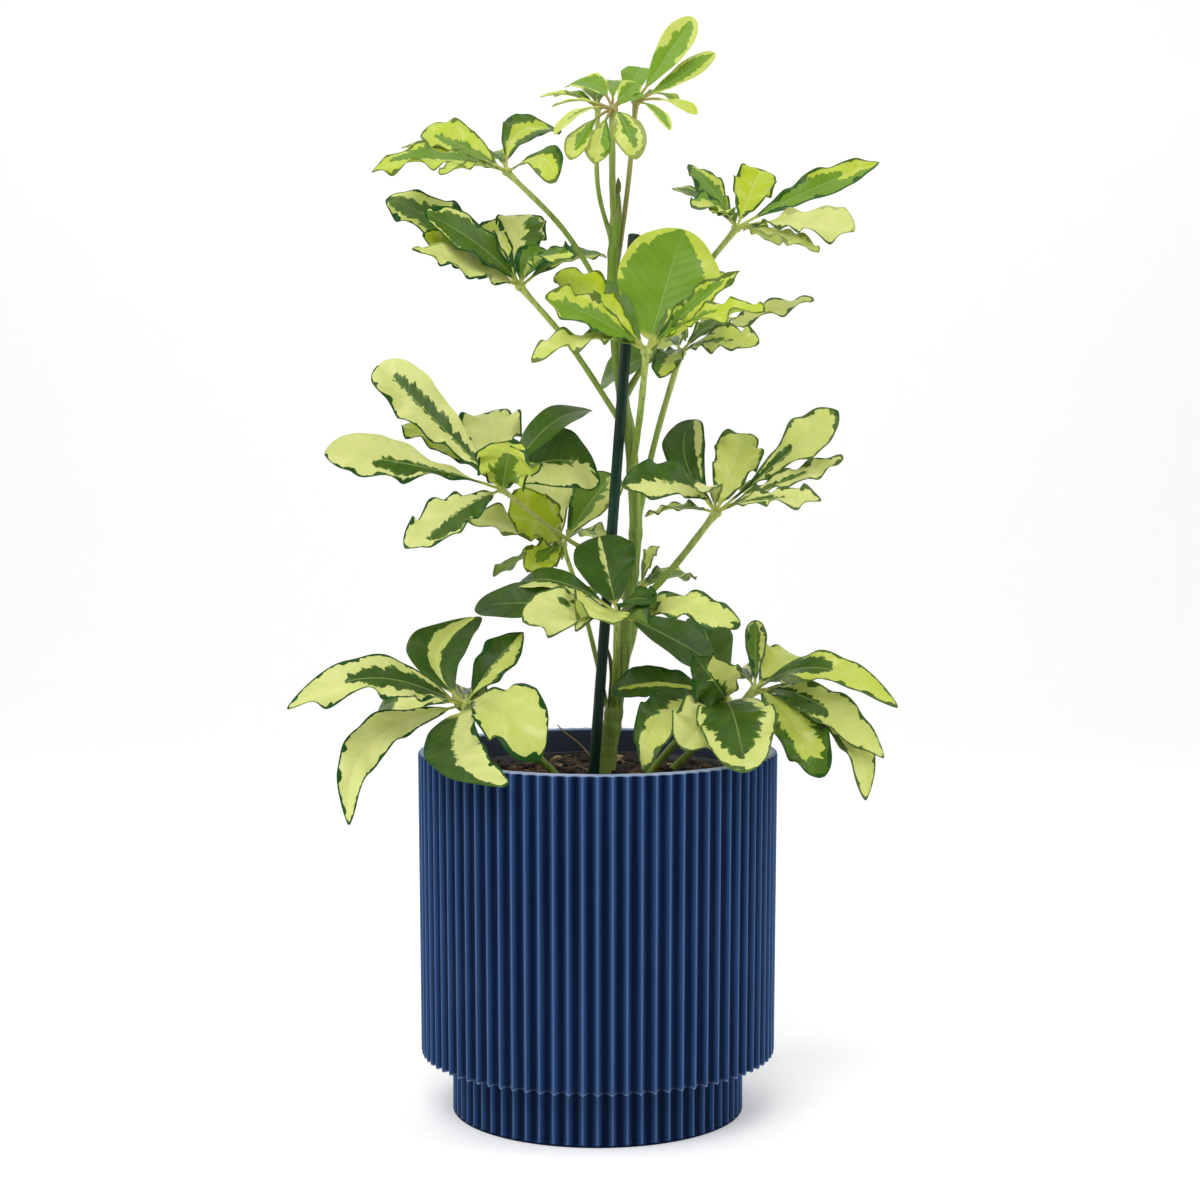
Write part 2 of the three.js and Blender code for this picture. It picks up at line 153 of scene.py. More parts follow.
def addPiece(name, shapes, materials, replaces):
    # Joins the shapes into one mesh, with each mark as an attribute of its points.
    kinds = "quads", "triangles"
    starts = np.cumsum([0] + [len(shape["points"]) for shape in shapes])
    points = np.concatenate([shape["points"] for shape in shapes]) * mm
    quads, triangles = [
        np.concatenate([shape[kind] + start for shape, start in zip(shapes, starts)]) for kind in kinds
    ]
    sizes = np.concatenate([np.full(len(quads), 4), np.full(len(triangles), 3)])
    materialOf = np.concatenate([
        np.full(len(shape[kind]), shape["material"]) for kind in kinds for shape in shapes
    ])
    mesh = bpy.data.meshes.new(name)
    mesh.vertices.add(len(points))
    mesh.vertices.foreach_set("co", points.astype(np.float32).ravel())
    corners = np.concatenate([quads.ravel(), triangles.ravel()]).astype(np.int32)
    mesh.loops.add(len(corners))
    mesh.loops.foreach_set("vertex_index", corners)
    mesh.polygons.add(len(sizes))
    mesh.polygons.foreach_set("loop_start", (np.cumsum(sizes) - sizes).astype(np.int32))
    mesh.polygons.foreach_set("loop_total", sizes.astype(np.int32))
    mesh.polygons.foreach_set("use_smooth", np.ones(len(sizes), bool))
    mesh.polygons.foreach_set("material_index", materialOf.astype(np.int32))
    for mark in sorted({mark for shape in shapes for mark in shape["marks"]}):
        blank = [np.zeros_like(shape["points"]) for shape in shapes]
        field = np.concatenate([shape["marks"].get(mark, none) for shape, none in zip(shapes, blank)])
        layer = mesh.attributes.new(mark, "FLOAT_VECTOR", "POINT")
        layer.data.foreach_set("vector", field.astype(np.float32).ravel())
    mesh.update()
    mesh.validate()
    for material in materials:
        mesh.materials.append(material)
    piece = addObject(name, mesh)
    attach(piece, "root")
    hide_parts(replaces)


def curveThrough(points, steps):
    # A smooth curve through the points. Each span is a cubic that leaves and arrives along the line
    # between the neighbouring points. Further columns, such as a radius, are carried with the place.
    points = np.array(points, float)
    points = np.concatenate([[2 * points[0] - points[1]], points, [2 * points[-1] - points[-2]]])
    t = np.linspace(0, len(points) - 3, steps)
    span = np.minimum(t.astype(int), len(points) - 4)
    t = (t - span)[:, None]
    a, b, c, d = [points[span + k] for k in range(4)]
    bend, twist = 2 * a - 5 * b + 4 * c - d, 3 * b - a - 3 * c + d
    return 0.5 * (2 * b + (c - a) * t + bend * t**2 + twist * t**3)


def rod(centres, radii, columns):
    # Round each centre, square to the path: centre + radius (cos turn across + sin turn over).
    along = unit(np.gradient(centres, axis=0))
    across = unit(np.cross([0.0, 1.0, 0.0], along))
    over = np.cross(along, across)
    turn = around(columns)[..., None]
    radii = np.zeros((len(centres), columns)) + np.reshape(radii, (np.shape(radii) + (1, 1))[:2])
    radii = radii[..., None]
    return centres[:, None] + radii * (np.cos(turn) * across[:, None] + np.sin(turn) * over[:, None])


def ball(rows, columns, cut):
    # Points at distance 1: (sin down, cos down) turned, with the angle cut left open at either pole.
    down = np.linspace(cut, np.pi - cut, rows)[:, None]
    return turned(np.sin(down), np.cos(down), around(columns))


def tint(red, green, blue):
    # A screen colour, 0 to 255, as the linear values that a shader takes.
    return tuple((channel / 255) ** 2.2 for channel in (red, green, blue))


class Wire:
    # One output of a node of a material. Sums and products of wires add Math nodes.
    def __init__(self, material, socket=None):
        self.material = material
        self.socket = socket

    def add(self, kind, settings=None, inputs=None, output=0):
        # Any node: its type, its settings, the values or links of its sockets, and the output wanted.
        tree = self.material.node_tree
        node = tree.nodes.new(kind)
        for name, value in (settings or {}).items():
            setattr(node, name, value)
        for name, value in (inputs or {}).items():
            socket = node.inputs[name]
            if isinstance(value, Wire):
                tree.links.new(value.socket, socket)
            elif isinstance(value, tuple) and len(socket.default_value) == 4:
                socket.default_value = (*value, 1)
            else:
                socket.default_value = value
        return Wire(self.material, node.outputs[output]) if node.outputs else None

    def math(self, operation, *values):
        return self.add("ShaderNodeMath", dict(operation=operation), dict(enumerate(values)))

    def __add__(self, other):
        return self.math("ADD", self, other)

    def __sub__(self, other):
        return self.math("SUBTRACT", self, other)

    def __rsub__(self, other):
        return self.math("SUBTRACT", other, self)

    def __mul__(self, other):
        return self.math("MULTIPLY", self, other)

    def __abs__(self):
        return self.math("ABSOLUTE", self)

    def sine(self):
        return self.math("SINE", self)

    def step(self, low, high):
        # 0 up to low, 1 from high, and a smooth climb between them.
        limits = {"Value": self, "From Min": low, "From Max": high}
        return self.add("ShaderNodeMapRange", dict(interpolation_type="SMOOTHSTEP"), limits)

    def mix(self, first, second, factor):
        # The first colour, turned into the second one as the factor goes from 0 to 1. Either is a wire or
        # a screen colour.
        first, second = [tint(*side) if isinstance(side, tuple) else side for side in (first, second)]
        return self.add("ShaderNodeMix", dict(data_type="RGBA"), {0: factor, 6: first, 7: second}, 2)

    def place(self):
        # Object coordinates.
        return self.add("ShaderNodeTexCoord", None, None, 3)

    def join(self, x, y, z):
        return self.add("ShaderNodeCombineXYZ", None, {0: x, 1: y, 2: z})

    def split(self):
        first = self.add("ShaderNodeSeparateXYZ", None, {0: self})
        return [Wire(self.material, socket) for socket in first.socket.node.outputs]

    def mark(self, name):
        # The three numbers of an attribute of the mesh.
        return self.add("ShaderNodeAttribute", dict(attribute_name=name), None, 1).split()

    def noise(self, scale, detail=2, roughness=0.5):
        settings = {"Vector": self, "Scale": scale, "Detail": detail, "Roughness": roughness}
        return self.add("ShaderNodeTexNoise", None, settings)

    def streaks(self, sideways, upwards, detail=3, roughness=0.5):
        # Noise drawn out along z: its scale across that line and its scale along it.
        x, y, z = self.split()
        return self.join(x * sideways, y * sideways, z * upwards).noise(1, detail, roughness)

    def bump(self, strength, distance):
        settings = {"Height": self, "Strength": strength, "Distance": distance * mm}
        return self.add("ShaderNodeBump", None, settings)

    def shade(self, colour, roughness, more):
        sockets = {"Base Color": colour, "Roughness": roughness, **more}
        shader = self.add("ShaderNodeBsdfPrincipled", None, sockets)
        self.add("ShaderNodeOutputMaterial", None, {"Surface": shader})
        return self.material


def startMaterial(name):
    material = bpy.data.materials.new(name)
    material.use_nodes = True
    material.node_tree.nodes.clear()
    return Wire(material)


def addStage():
    # One sheet: a flat floor that curves up by a quarter circle into an upright wall.
    bow = np.linspace(0, np.pi / 2, 25)
    foot, curve = stage["wallFoot"], stage["curve"]
    y = np.concatenate([[stage["front"]], foot + curve * np.sin(bow), [foot + curve]])
    z = np.concatenate([[0], curve * (1 - np.cos(bow)), [stage["wallTop"]]])
    x = np.array([-stage["halfWidth"], stage["halfWidth"]])
    points = np.stack([np.tile(x, len(y)), np.repeat(y, 2), np.repeat(z, 2)], -1) * mm
    row = 2 * np.arange(len(y) - 1)
    faces = np.stack([row, row + 1, row + 3, row + 2], -1)
    mesh = bpy.data.meshes.new("floor")
    mesh.from_pydata(points.tolist(), [], faces.tolist())
    glow = {"Emission Color": (1.0, 1.0, 1.0), "Emission Strength": stage["lift"]}
    mesh.materials.append(startMaterial("floor").shade(tint(*stage["colour"]), 0.9, glow))
    mesh.polygons.foreach_set("use_smooth", np.ones(len(faces), bool))
    addObject("floor", mesh)


addCamera()
addLights()
addStage()
print("camera, lights and floor made")


planter = dict(
    height=201.5,
    rimRadius=100,
    bodyLowRadius=98.9,
    bodyBottom=32.6,
    bodyFlutes=80,
    footRadius=81.4,
    footFlutes=64,
    fluteDepth=2.4,
    scallop=1.2,  # how far the flutes' hollows lift the body's lower edge
    cavityRadius=92,
    ledge=39,  # the inner floor that the grow pot stands on
    wellRadius=58,
    wellFloor=8,
    columns=1280,
    # crestHighlightColour is a painted highlight on the ridges' crests; grooveColour is partly pooled glaze
    # and partly painted shade; rimHighlightColour is a painted reflection on the rim's top and a painted
    # highlight along the body's lower edge.
    crestHighlightColour=(84, 108, 150),
    ridgeColour=(45, 70, 109),
    grooveColour=(11, 22, 46),
    rimHighlightColour=(150, 166, 196),
    insideColour=(66, 72, 90),
)


def planterShape():
    # Each row is a ring of radius r at height z. A flute lowers the radius by depth times a round
    # hollow: (sin^2 of half the flute's turn)^0.62, so ridges are narrow and hollows are wide.
    p = planter
    foot, low, rim = p["footRadius"], p["bodyLowRadius"], p["rimRadius"]
    hole, ledge, well, floor = p["cavityRadius"], p["ledge"], p["wellRadius"], p["wellFloor"]
    under, top = p["bodyBottom"], p["height"]
    lowest, highest = under + 1.2, top - 1.8  # the straight part of the body
    footRows = [  # radius, height, share of the flute's depth
        (30, 1.2, 0), (foot - 7.4, 1.2, 0), (foot - 5.4, 0.2, 0), (foot - 4, 0, 0), (foot - 1.2, 0, 0),
        (foot - 0.4, 0.2, 0), (foot - 0.1, 0.5, 0), (foot - 0.1, 0.8, 0.1), (foot, 1.5, 0.9), (foot, 3.5, 1),
        (foot, 12, 1), (foot, 22, 1), (foot, under - 1.2, 1), (foot + 0.6, under - 0.4, 0.9),
        (foot + 2.6, under, 0),
    ]
    bodyRows = [
        (low - 8.9, under, 0), (low - 2.5, under, 0.3), (low - 0.9, under - 0.1, 0.9),
        (low - 0.3, under + 0.3, 1), (low, lowest, 1),
    ]
    bodyRows += [(low + (rim - low) * k / 8, lowest + (highest - lowest) * k / 8, 1) for k in range(1, 9)]
    bodyRows += [
        (rim - 0.05, top - 0.9, 1), (rim - 0.4, top - 0.3, 1), (rim - 1, top, 1), (rim - 3, top, 0.35),
        (hole + 1.2, top, 0), (hole + 0.4, top - 0.2, 0), (hole, top - 0.8, 0),
    ]
    insideRows = [
        (hole, top - 1.2, 0), (hole, 190, 0), (hole, 120, 0), (hole, ledge + 2, 0),
        (hole - 0.6, ledge + 0.4, 0), (hole - 2, ledge, 0), (well + 1, ledge, 0),
        (well + 0.2, ledge - 0.3, 0), (well, ledge - 1, 0), (well, floor + 1, 0), (well - 1, floor, 0),
        (20, floor, 0),
    ]
    counts = [len(footRows), len(bodyRows), len(insideRows)]
    rows = np.array(footRows + bodyRows + insideRows, float)
    radius, height, share = rows[:, 0:1], rows[:, 1:2], rows[:, 2:3]
    flutes = np.repeat([p["footFlutes"], p["bodyFlutes"], p["bodyFlutes"]], counts)[:, None]
    inner = np.repeat([0, 0, 1], counts)[:, None]
    turn = around(p["columns"])
    hollow = (np.sin(turn * flutes / 2) ** 2 + 0.004) ** 0.62
    radius = radius - p["fluteDepth"] * share * hollow
    level = height + p["scallop"] * hollow * (abs(height - under - 0.4) < 1)
    # A painted highlight along the body's scalloped lower edge, brightest on the crests.
    lowEdgeHighlight = 0.5 * (abs(height - under - 0.3) < 0.5) * (1 - hollow)
    # Pale paint on the rim's top is a painted reflection of the light it catches; with the lower edge it
    # makes the painted pale mark.
    pale = np.where(height > top - 0.5, 1.0, lowEdgeHighlight) * (1 - inner)
    # Shade is the share of the groove colour: in the hollows it is partly pooled glaze and partly painted
    # shade, and on the rings below 1 mm it is a painted contact shadow where the foot meets the floor.
    shade = np.where(height < 1, 1, hollow * share)
    return rings(turned(radius, level, turn), dict(planterLook=triple(shade, pale, inner)))


def glazeMaterial():
    # Deep blue, darker in the flutes' hollows, partly as glaze that pools there and partly as painted shade,
    # with a painted contact shadow on the lowest rings, a painted highlight on the ridges' crests and a
    # painted reflection on the rim's top.
    p = planter
    start = startMaterial("glazed_blue")
    spot = start.place()
    hollow, rim, inner = start.mark("planterLook")
    cloud = spot.noise(14, 3)
    streak = spot.streaks(160, 9)
    speck = spot.noise(900, 2)
    # Groove colour in the hollows is partly pooled glaze and partly painted shade; on the lowest rings it is
    # a painted contact shadow.
    shade = (hollow + (cloud - 0.5) * 0.25 + (streak - 0.5) * 0.25).step(0.05, 1)
    colour = start.mix(p["ridgeColour"], p["grooveColour"], shade)
    # Painted highlight where the mark shows no hollow: the ridges' crests and the unfluted rings.
    colour = start.mix(colour, p["crestHighlightColour"], (1 - hollow.step(0.02, 0.2)) * 0.8)
    # Painted reflection on the rim's top and painted highlight along the body's lower edge.
    colour = start.mix(colour, p["rimHighlightColour"], rim * 0.8)
    colour = start.mix(colour, p["insideColour"], inner)
    roughness = (speck - 0.5) * 0.12 + (cloud - 0.5) * 0.16 + 0.36
    return start.shade(colour, roughness, {
        "Specular IOR Level": 0.1, "Specular Tint": (0.25, 0.5, 1),
        "Normal": (speck * 0.5 + streak * 0.5).bump(0.12, 0.15),
    })


addPiece("planter_glazed", [planterShape()], [glazeMaterial()], "planter")
print("planter made")


growPot = dict(
    bottom=39.3,
    height=150,
    baseRadius=64,
    rimRadius=85,
    lipDepth=9,
    lipStep=2.4,
    wall=1.6,
    columns=96,
    colour=(26, 27, 29),
    dustColour=(70, 64, 58),
)


def growPotShape():
    # A turned wall: it widens evenly from base to lip, the lip steps out, and the inside follows it.
    g = growPot
    base, bottom, lip, wall = g["baseRadius"], g["bottom"], g["rimRadius"], g["wall"]
    top = bottom + g["height"]
    under = top - g["lipDepth"]

    def outer(z):
        return base + (lip - g["lipStep"] - base) * (z - bottom) / g["height"]

    def inner(z):
        return outer(z) - wall

    profile = [
        (20, bottom + 0.6), (56, bottom + 0.6), (58, bottom), (base - 1.4, bottom),
        (base - 0.2, bottom + 0.5), (base + 0.3, bottom + 1.7), (outer(90), 90), (outer(140), 140),
        (outer(under) - 0.1, under - 0.4), (outer(under) + 0.4, under), (lip - 0.5, under),
        (lip, under + 0.5), (lip, top - 0.8),
        (lip - 0.3, top - 0.2), (lip - 1, top), (inner(top) + 0.4, top), (inner(top), top - 0.5),
        (inner(140), 140), (inner(bottom + 1.7), bottom + 2.1), (60, bottom + wall), (20, bottom + wall),
    ]
    radius, height = [np.array(column)[:, None] for column in zip(*profile)]
    return rings(turned(radius, height, around(g["columns"])))


def potMaterial():
    start = startMaterial("pot_black")
    spot = start.place()
    fine = spot.noise(1400, 2)
    dust = spot.noise(40, 4).step(0.5, 0.8)
    colour = start.mix(growPot["colour"], growPot["dustColour"], dust * 0.4)
    return start.shade(colour, dust * 0.25 + 0.5, {"Normal": fine.bump(0.2, 0.1)})


addPiece("grow_pot_moulded", [growPotShape()], [potMaterial()], "grow_pot")
print("grow pot made")


soil = dict(
    radius=79.6,
    top=186,
    swell=2.2,
    bottom=44,
    waves=((46, 1.1), (27, 0.9), (15, 0.7), (8.5, 0.5), (5, 0.35), (3, 0.2)),  # length and height
    chunks=420,
    chunkSize=(1.4, 4.6),
    fibres=120,
    fibreLength=(6, 20),
    spread=75,  # how far from the middle chunks and fibres lie
    straw=[(-4, 74, 187), (-11, 75, 195), (-19, 76, 201), (-24, 76, 206)],
    seed=7,
    darkColour=(20, 14, 10),
    barkColour=(92, 63, 41),
    paleColour=(176, 150, 104),
)


def soilTop(x, y):
    # Height of the potting mix: a low dome and a sum of slanted waves of shrinking length and height.
    rows = np.random.default_rng(soil["seed"])
    height = soil["top"] + soil["swell"] * (1 - (x**2 + y**2) / soil["radius"] ** 2)
    for length, lift in soil["waves"]:
        for _ in range(3):
            way, shift = rows.uniform(0, turnRound, 2)
            along = x * np.cos(way) + y * np.sin(way)
            height = height + lift * 0.5 * np.sin(along * turnRound / length + shift)
    return height


def bed():
    # Rings of the soil's surface from near the middle out to the wall, then down it and in again.
    radius = np.concatenate([np.linspace(1.5, soil["radius"], 56), [79.4, 66, 20]])[:, None]
    turn = around(180)
    z = soilTop(radius * np.cos(turn), radius * np.sin(turn))
    z[-3:] = np.array([[168], [soil["bottom"]], [soil["bottom"]]])
    return rings(turned(radius, z, turn), dict(soilLook=np.array([0.25, 0, 0])))


def lump(rows, x, y):
    # A squashed ball with uneven sides, turned at random: bark and peat.
    size = rows.uniform(*soil["chunkSize"]) * np.array([1, rows.uniform(0.45, 0.9), rows.uniform(0.3, 0.6)])
    body = ball(5, 8, 0.35)
    body = body * rows.uniform(0.75, 1.2, body.shape[:2])[..., None] * size
    way, tilt = rows.uniform(0, turnRound), rows.normal(0, 0.45)
    flat = np.array([[np.cos(way), -np.sin(way), 0], [np.sin(way), np.cos(way), 0], [0, 0, 1]])
    rise = np.array([[1, 0, 0], [0, np.cos(tilt), -np.sin(tilt)], [0, np.sin(tilt), np.cos(tilt)]])
    place = np.array([x, y, soilTop(x, y) + size[2] * 0.35])
    look = np.array([rows.uniform(0, 1) ** 1.3, float(rows.random() < 0.06), 0])
    return rings(body @ rise.T @ flat.T + place, dict(soilLook=look))


def fibre(rows, x, y):
    # A thin bent strand that rises a little and comes down again.
    way, reach = rows.uniform(0, turnRound), rows.uniform(*soil["fibreLength"])
    bow = rows.normal(0, 3)
    ahead = np.array([np.cos(way), np.sin(way)])
    t = np.linspace(-0.5, 0.5, 9)
    flat = np.array([x, y]) + t[:, None] * reach * ahead + (4 * t**2)[:, None] * bow * ahead[::-1] * [1, -1]
    flat = flat * np.minimum(1, 76 / np.maximum(1, np.linalg.norm(flat, axis=1)))[:, None]
    rise = soilTop(flat[:, 0], flat[:, 1]) + 0.6 + rows.uniform(0, 2.6) * (1 - 4 * t**2)
    look = np.array([rows.uniform(0.3, 1), rows.uniform(0, 0.6), 0])
    return rings(rod(np.column_stack([flat, rise]), rows.uniform(0.14, 0.34), 5), dict(soilLook=look))


def soilMaterial():
    s = soil
    start = startMaterial("potting_mix")
    spot = start.place()
    tone, pale, _ = start.mark("soilLook")
    coarse = spot.noise(220, 4, 0.7)
    fine = spot.noise(1100, 3, 0.6)
    shade = (tone + (coarse - 0.5) * 1.3).step(0.1, 1)
    colour = start.mix(s["darkColour"], s["barkColour"], shade)
    colour = start.mix(colour, s["paleColour"], pale)
    return start.shade(colour, 0.85, {"Normal": (coarse + fine * 0.5).bump(0.7, 0.8)})


def addSoil():
    rows = np.random.default_rng(soil["seed"] + 1)
    shapes = [bed()]
    for make, count in ((lump, soil["chunks"]), (fibre, soil["fibres"])):
        for _ in range(count):
            away, way = soil["spread"] * np.sqrt(rows.random()), rows.uniform(0, turnRound)
            shapes.append(make(rows, away * np.cos(way), away * np.sin(way)))
    straw = rod(curveThrough(soil["straw"], 14), np.linspace(0.5, 0.3, 14), 6)
    shapes.append(rings(straw, dict(soilLook=np.array([1, 0.7, 0]))))
    addPiece("soil_bed", shapes, [soilMaterial()], "soil")


addSoil()
print("soil made")


stake = dict(
    bottom=(-11.4, -9, 68),
    top=(20, -9, 486),
    radius=3,
    capRadius=3.4,
    capLength=9,
    columns=40,
    colour=(12, 42, 30),
    grainColour=(24, 66, 48),
    capColour=(34, 50, 44),
)


def stakeShape():
    # Places along the line from bottom to top, each with its radius. The cap is a short sleeve with a dome.
    bottom, top = np.array(stake["bottom"], float), np.array(stake["top"], float)
    length = np.linalg.norm(top - bottom)
    r, cap = stake["radius"], stake["capRadius"]
    sleeve = length - stake["capLength"]
    shaft = np.linspace(0.6, sleeve - 0.6, 60)
    dome = np.linspace(0.2, np.pi / 2, 8)
    place = np.concatenate([
        [0], shaft, [sleeve - 0.3, sleeve, sleeve + 0.5], length - 1.6 + 1.6 * np.sin(dome),
    ])
    ripple = 0.035 * np.sin(shaft * 0.9) + 0.03 * np.sin(shaft * 0.23)
    radius = np.concatenate([[r - 0.5], r + ripple, [r, cap - 0.15, cap], cap * np.cos(dome) ** 0.5 + 0.02])
    centres = bottom + (place / length)[:, None] * (top - bottom)
    look = triple(place > sleeve - 0.2, 0, 0)
    return rings(rod(centres, radius, stake["columns"]), dict(stakeLook=look[:, None]))


def stakeMaterial():
    start = startMaterial("stake_green")
    spot = start.place()
    capped, _, _ = start.mark("stakeLook")
    grain = spot.streaks(900, 60)
    cloud = spot.noise(35, 3)
    worn = (cloud * 0.6 + grain * 0.4).step(0.42, 0.75)
    colour = start.mix(stake["colour"], stake["grainColour"], worn)
    colour = start.mix(colour, stake["capColour"], capped)
    sockets = {"Specular IOR Level": 0.25, "Normal": grain.bump(0.25, 0.12)}
    return start.shade(colour, grain * 0.2 + 0.32, sockets)


addPiece("stake_rod", [stakeShape()], [stakeMaterial()], "stake")
print("stake made")


stem = dict(
    line=[  # x, y, z and radius
        (4.6, 0, 120, 4.8), (5.4, 0, 190, 5.1), (7.8, 0, 215, 4.8), (14.2, 0, 255, 3.9), (18.6, 0, 295, 3.7),
        (21, 0, 329, 3.5), (18, 0, 374, 3.3), (13, 0, 401, 3.1), (10, 0, 426, 2.9), (8, 0, 455, 2.7),
        (8.8, 0.3, 484, 2.8), (8.8, -0.6, 503, 1.5),
    ],
    joints=[214, 222, 240, 276, 300, 322, 356, 376, 396, 446, 458, 476, 490],  # heights of the leaf joints
    scars=[198, 204, 228, 250, 262, 288, 338, 410, 432],
    jointSwell=0.16,
    scarDepth=0.03,
    columns=48,
    lowColour=(122, 148, 56),
    highColour=(102, 136, 24),
    barkColour=(134, 122, 78),
    darkColour=(60, 82, 24),
    paleColour=(168, 178, 104),
    scarColour=(92, 72, 44),
    slivers=[  # the bud under the crown in its sheath, and the dry brown scale of a fallen leaf
        dict(line=[(9.4, -1, 472), (10.6, -1.4, 494), (11.4, -1.6, 511)], radius=2.5, dry=0),
        dict(line=[(10.8, -1.8, 506), (11.4, -2, 512), (11.2, -2, 517)], radius=1.5, dry=0.9),
        dict(line=[(5.8, -4.4, 226), (8, -5, 244), (5.4, -5.6, 260)], radius=1.5, dry=1),
    ],
)


def stemShape():
    # A rod on the line. It swells by jointSwell exp(-(gap / 3)^2) at a joint, and has a narrow ring
    # of scarDepth exp(-(gap / 0.7)^2) at a scar. Slow waves round it make it a little uneven.
    path = curveThrough(stem["line"], 420)
    z = path[:, 2:3]
    turn = around(stem["columns"])
    swell = sum(np.exp(-(((z - joint) / 3) ** 2)) for joint in stem["joints"]) * stem["jointSwell"]
    scar = sum(np.exp(-(((z - joint) / 0.7) ** 2)) for joint in stem["joints"] + stem["scars"])
    uneven = 0.03 * np.sin(2 * turn + z / 17) + 0.018 * np.sin(5 * turn - z / 9) + 0.02 * np.sin(z / 6.5)
    radius = path[:, 3:] * (1 + swell - stem["scarDepth"] * scar + uneven)
    return rings(rod(path[:, :3], radius, stem["columns"]), dict(stemLook=triple(scar, z, 0)))


def sliverShape(sliver):
    # A rod that bulges as sin(pi t)^0.8 and ends in a point.
    t = np.linspace(0, 1, 22)
    path = curveThrough(sliver["line"], 22)
    thick = sliver["radius"] * np.sin(np.pi * np.clip(t * 0.92 + 0.06, 0, 1)) ** 0.8
    return rings(rod(path, thick, 16), dict(stemLook=np.array([sliver["dry"], 420, 0])))


def stemMaterial():
    s = stem
    start = startMaterial("stem_green")
    spot = start.place()
    scar, height, _ = start.mark("stemLook")
    streak = spot.streaks(420, 14, 4, 0.6)
    patch = spot.noise(48, 3)
    colour = start.mix(s["lowColour"], s["highColour"], height.step(260, 480))
    colour = start.mix(colour, s["darkColour"], streak.step(0.48, 0.66) * 0.65)
    pale = (1 - streak).step(0.55, 0.75) * (0.6 - height.step(300, 480) * 0.4)
    colour = start.mix(colour, s["paleColour"], pale)
    bark = (patch + (1 - height.step(200, 330)) * 0.1).step(0.6, 0.75)
    colour = start.mix(colour, s["barkColour"], bark * 0.5)
    corky = scar.step(0.5, 1) * (patch.step(0.45, 0.6) * 0.5 + scar.step(0.96, 1) * 0.4)
    colour = start.mix(colour, s["scarColour"], corky)
    return start.shade(colour, streak * 0.2 + 0.45, {"Normal": streak.bump(0.35, 0.35)})


stemShapes = [stemShape(), *map(sliverShape, stem["slivers"])]
addPiece("stem_grown", stemShapes, [stemMaterial()], "stem")
print("stem made")


blade = dict(
    rows=62,
    columns=44,
    thickness=0.56,
    waveHeight=0.09,  # of the width
    waves=2.5,
    outlineRipples=((0.08, 2.3, 2.3, 1.3), (0.045, 4.7, 1.1, 2.6)),  # height, count, phases of leaf and side
    marginRipples=((0.125, 3.7, 1.7, 3.8), (0.03, 6.7, 0.7, 1.9)),
    stalkWidth=1.5,
    stalkThickness=1.4,
    creamColour=(202, 207, 128),
    brightColour=(222, 222, 150),
    dullColour=(166, 184, 84),
    limeColour=(172, 190, 36),
    darkColour=(39, 68, 15),
    midColour=(112, 150, 36),
    haloColour=(104, 136, 62),
    veinColour=(150, 176, 96),
    midribColour=(214, 218, 140),
    lineColour=(26, 72, 10),
    underColour=(142, 164, 72),
    stalkColour=(170, 176, 84),
    redColour=(140, 96, 62),
)

leafStalk = dict(
    footSwell=0.5,
    hubSwell=0.35,
    hubMore=1.3,  # how much thicker than the stalk the hub is
    lowColour=(124, 148, 52),
    highColour=(166, 180, 90),
    redColour=(150, 112, 70),
    streakColour=(90, 112, 44),
)

markings = dict(  # how green lies on a leaflet, in shares: along it 1 is the tip, across it 1 is a margin
    cream=dict(),
    dark=dict(core=(9, 9, 0)),
    core=dict(core=(0.8, 0.5, 0)),
    slim=dict(core=(0.7, 0.28, 0)),
    wide=dict(core=(1, 0.78, 0)),
    edge=dict(edge=0.5, tip=0.86),
)

outlines = dict(  # where the blade is widest and how blunt its ends are
    oval=(1.5, 0.52),
    broad=(1.7, 0.5),
    spoon=(2.4, 0.6),
    lance=(1.15, 0.8),
    round=(1.2, 0.5),
)

usualStalk = dict(red=0, hubRed=0, line=0.9, ruffle=0.8, stalkShare=0.1, outline="broad")
usualLeaf = dict(bend=0, skew=0, curl=(0, 0), wavy=(1, 1), fold=14, jag=1)  # fold in degrees


def stalk(root, bend, hub, radius, **more):
    # More is what all the leaflets on it share: tone goes from cream to lime, depth from dark to mid green.
    return {**usualStalk, "root": root, "bend": bend, "hub": hub, "radius": radius, **more}


def leaf(tip, width, arch, lean, mark, **more):
    # Lean turns its face to the front, in degrees. The mark is the name of a marking, a core by itself, or
    # a dictionary of its own.
    if isinstance(mark, tuple):
        mark = dict(core=mark)
    return {**usualLeaf, "tip": tip, "width": width, "arch": arch, "lean": lean, "mark": mark, **more}


fronds = {}

fronds["crown"] = [
    stalk((9, 0, 490), (8, -5, 516), (8, -8, 553), 1.8, red=0.1, hubRed=0.6, tone=0.6, depth=0.9,
          ruffle=0.08, line=0, stalkShare=0.2, outline="oval"),
    leaf((-25, 5, 556), 9, 4, 15, "slim"),
    leaf((-17, 19, 569), 17, 5, 50, (1.1, 0.8, 0.05), bend=5.5, ruffle=0),
    leaf((-23, -36, 536), 9, 6, 20, "slim"),
    leaf((-15, -33, 523), 14, 7, 45, (0.85, 0.62, -0.15), tone=0.6, outline="spoon", stalkShare=0.3,
         line=0.5),
    leaf((-2, -33, 521), 15, 8, 60, (0.9, 0.7, -0.75), tone=0.6, outline="spoon", stalkShare=0.3, line=0.5),
    leaf((21, -36, 523), 18, 8, 60, (0.88, 0.42, -0.1), tone=0.5, outline=(1.8, 0.5), depth=0.7, line=0.5),
    leaf((9, 24, 573), 16, 3, 60, (0.95, 0.75, 0), tone=0.45, outline="spoon"),
    leaf((22, 2, 568), 12, 3, 60, (1.2, 0.92, 0.15), tone=0.6),
    leaf((25, -6, 561), 10, 2, 40, "dark"),
]
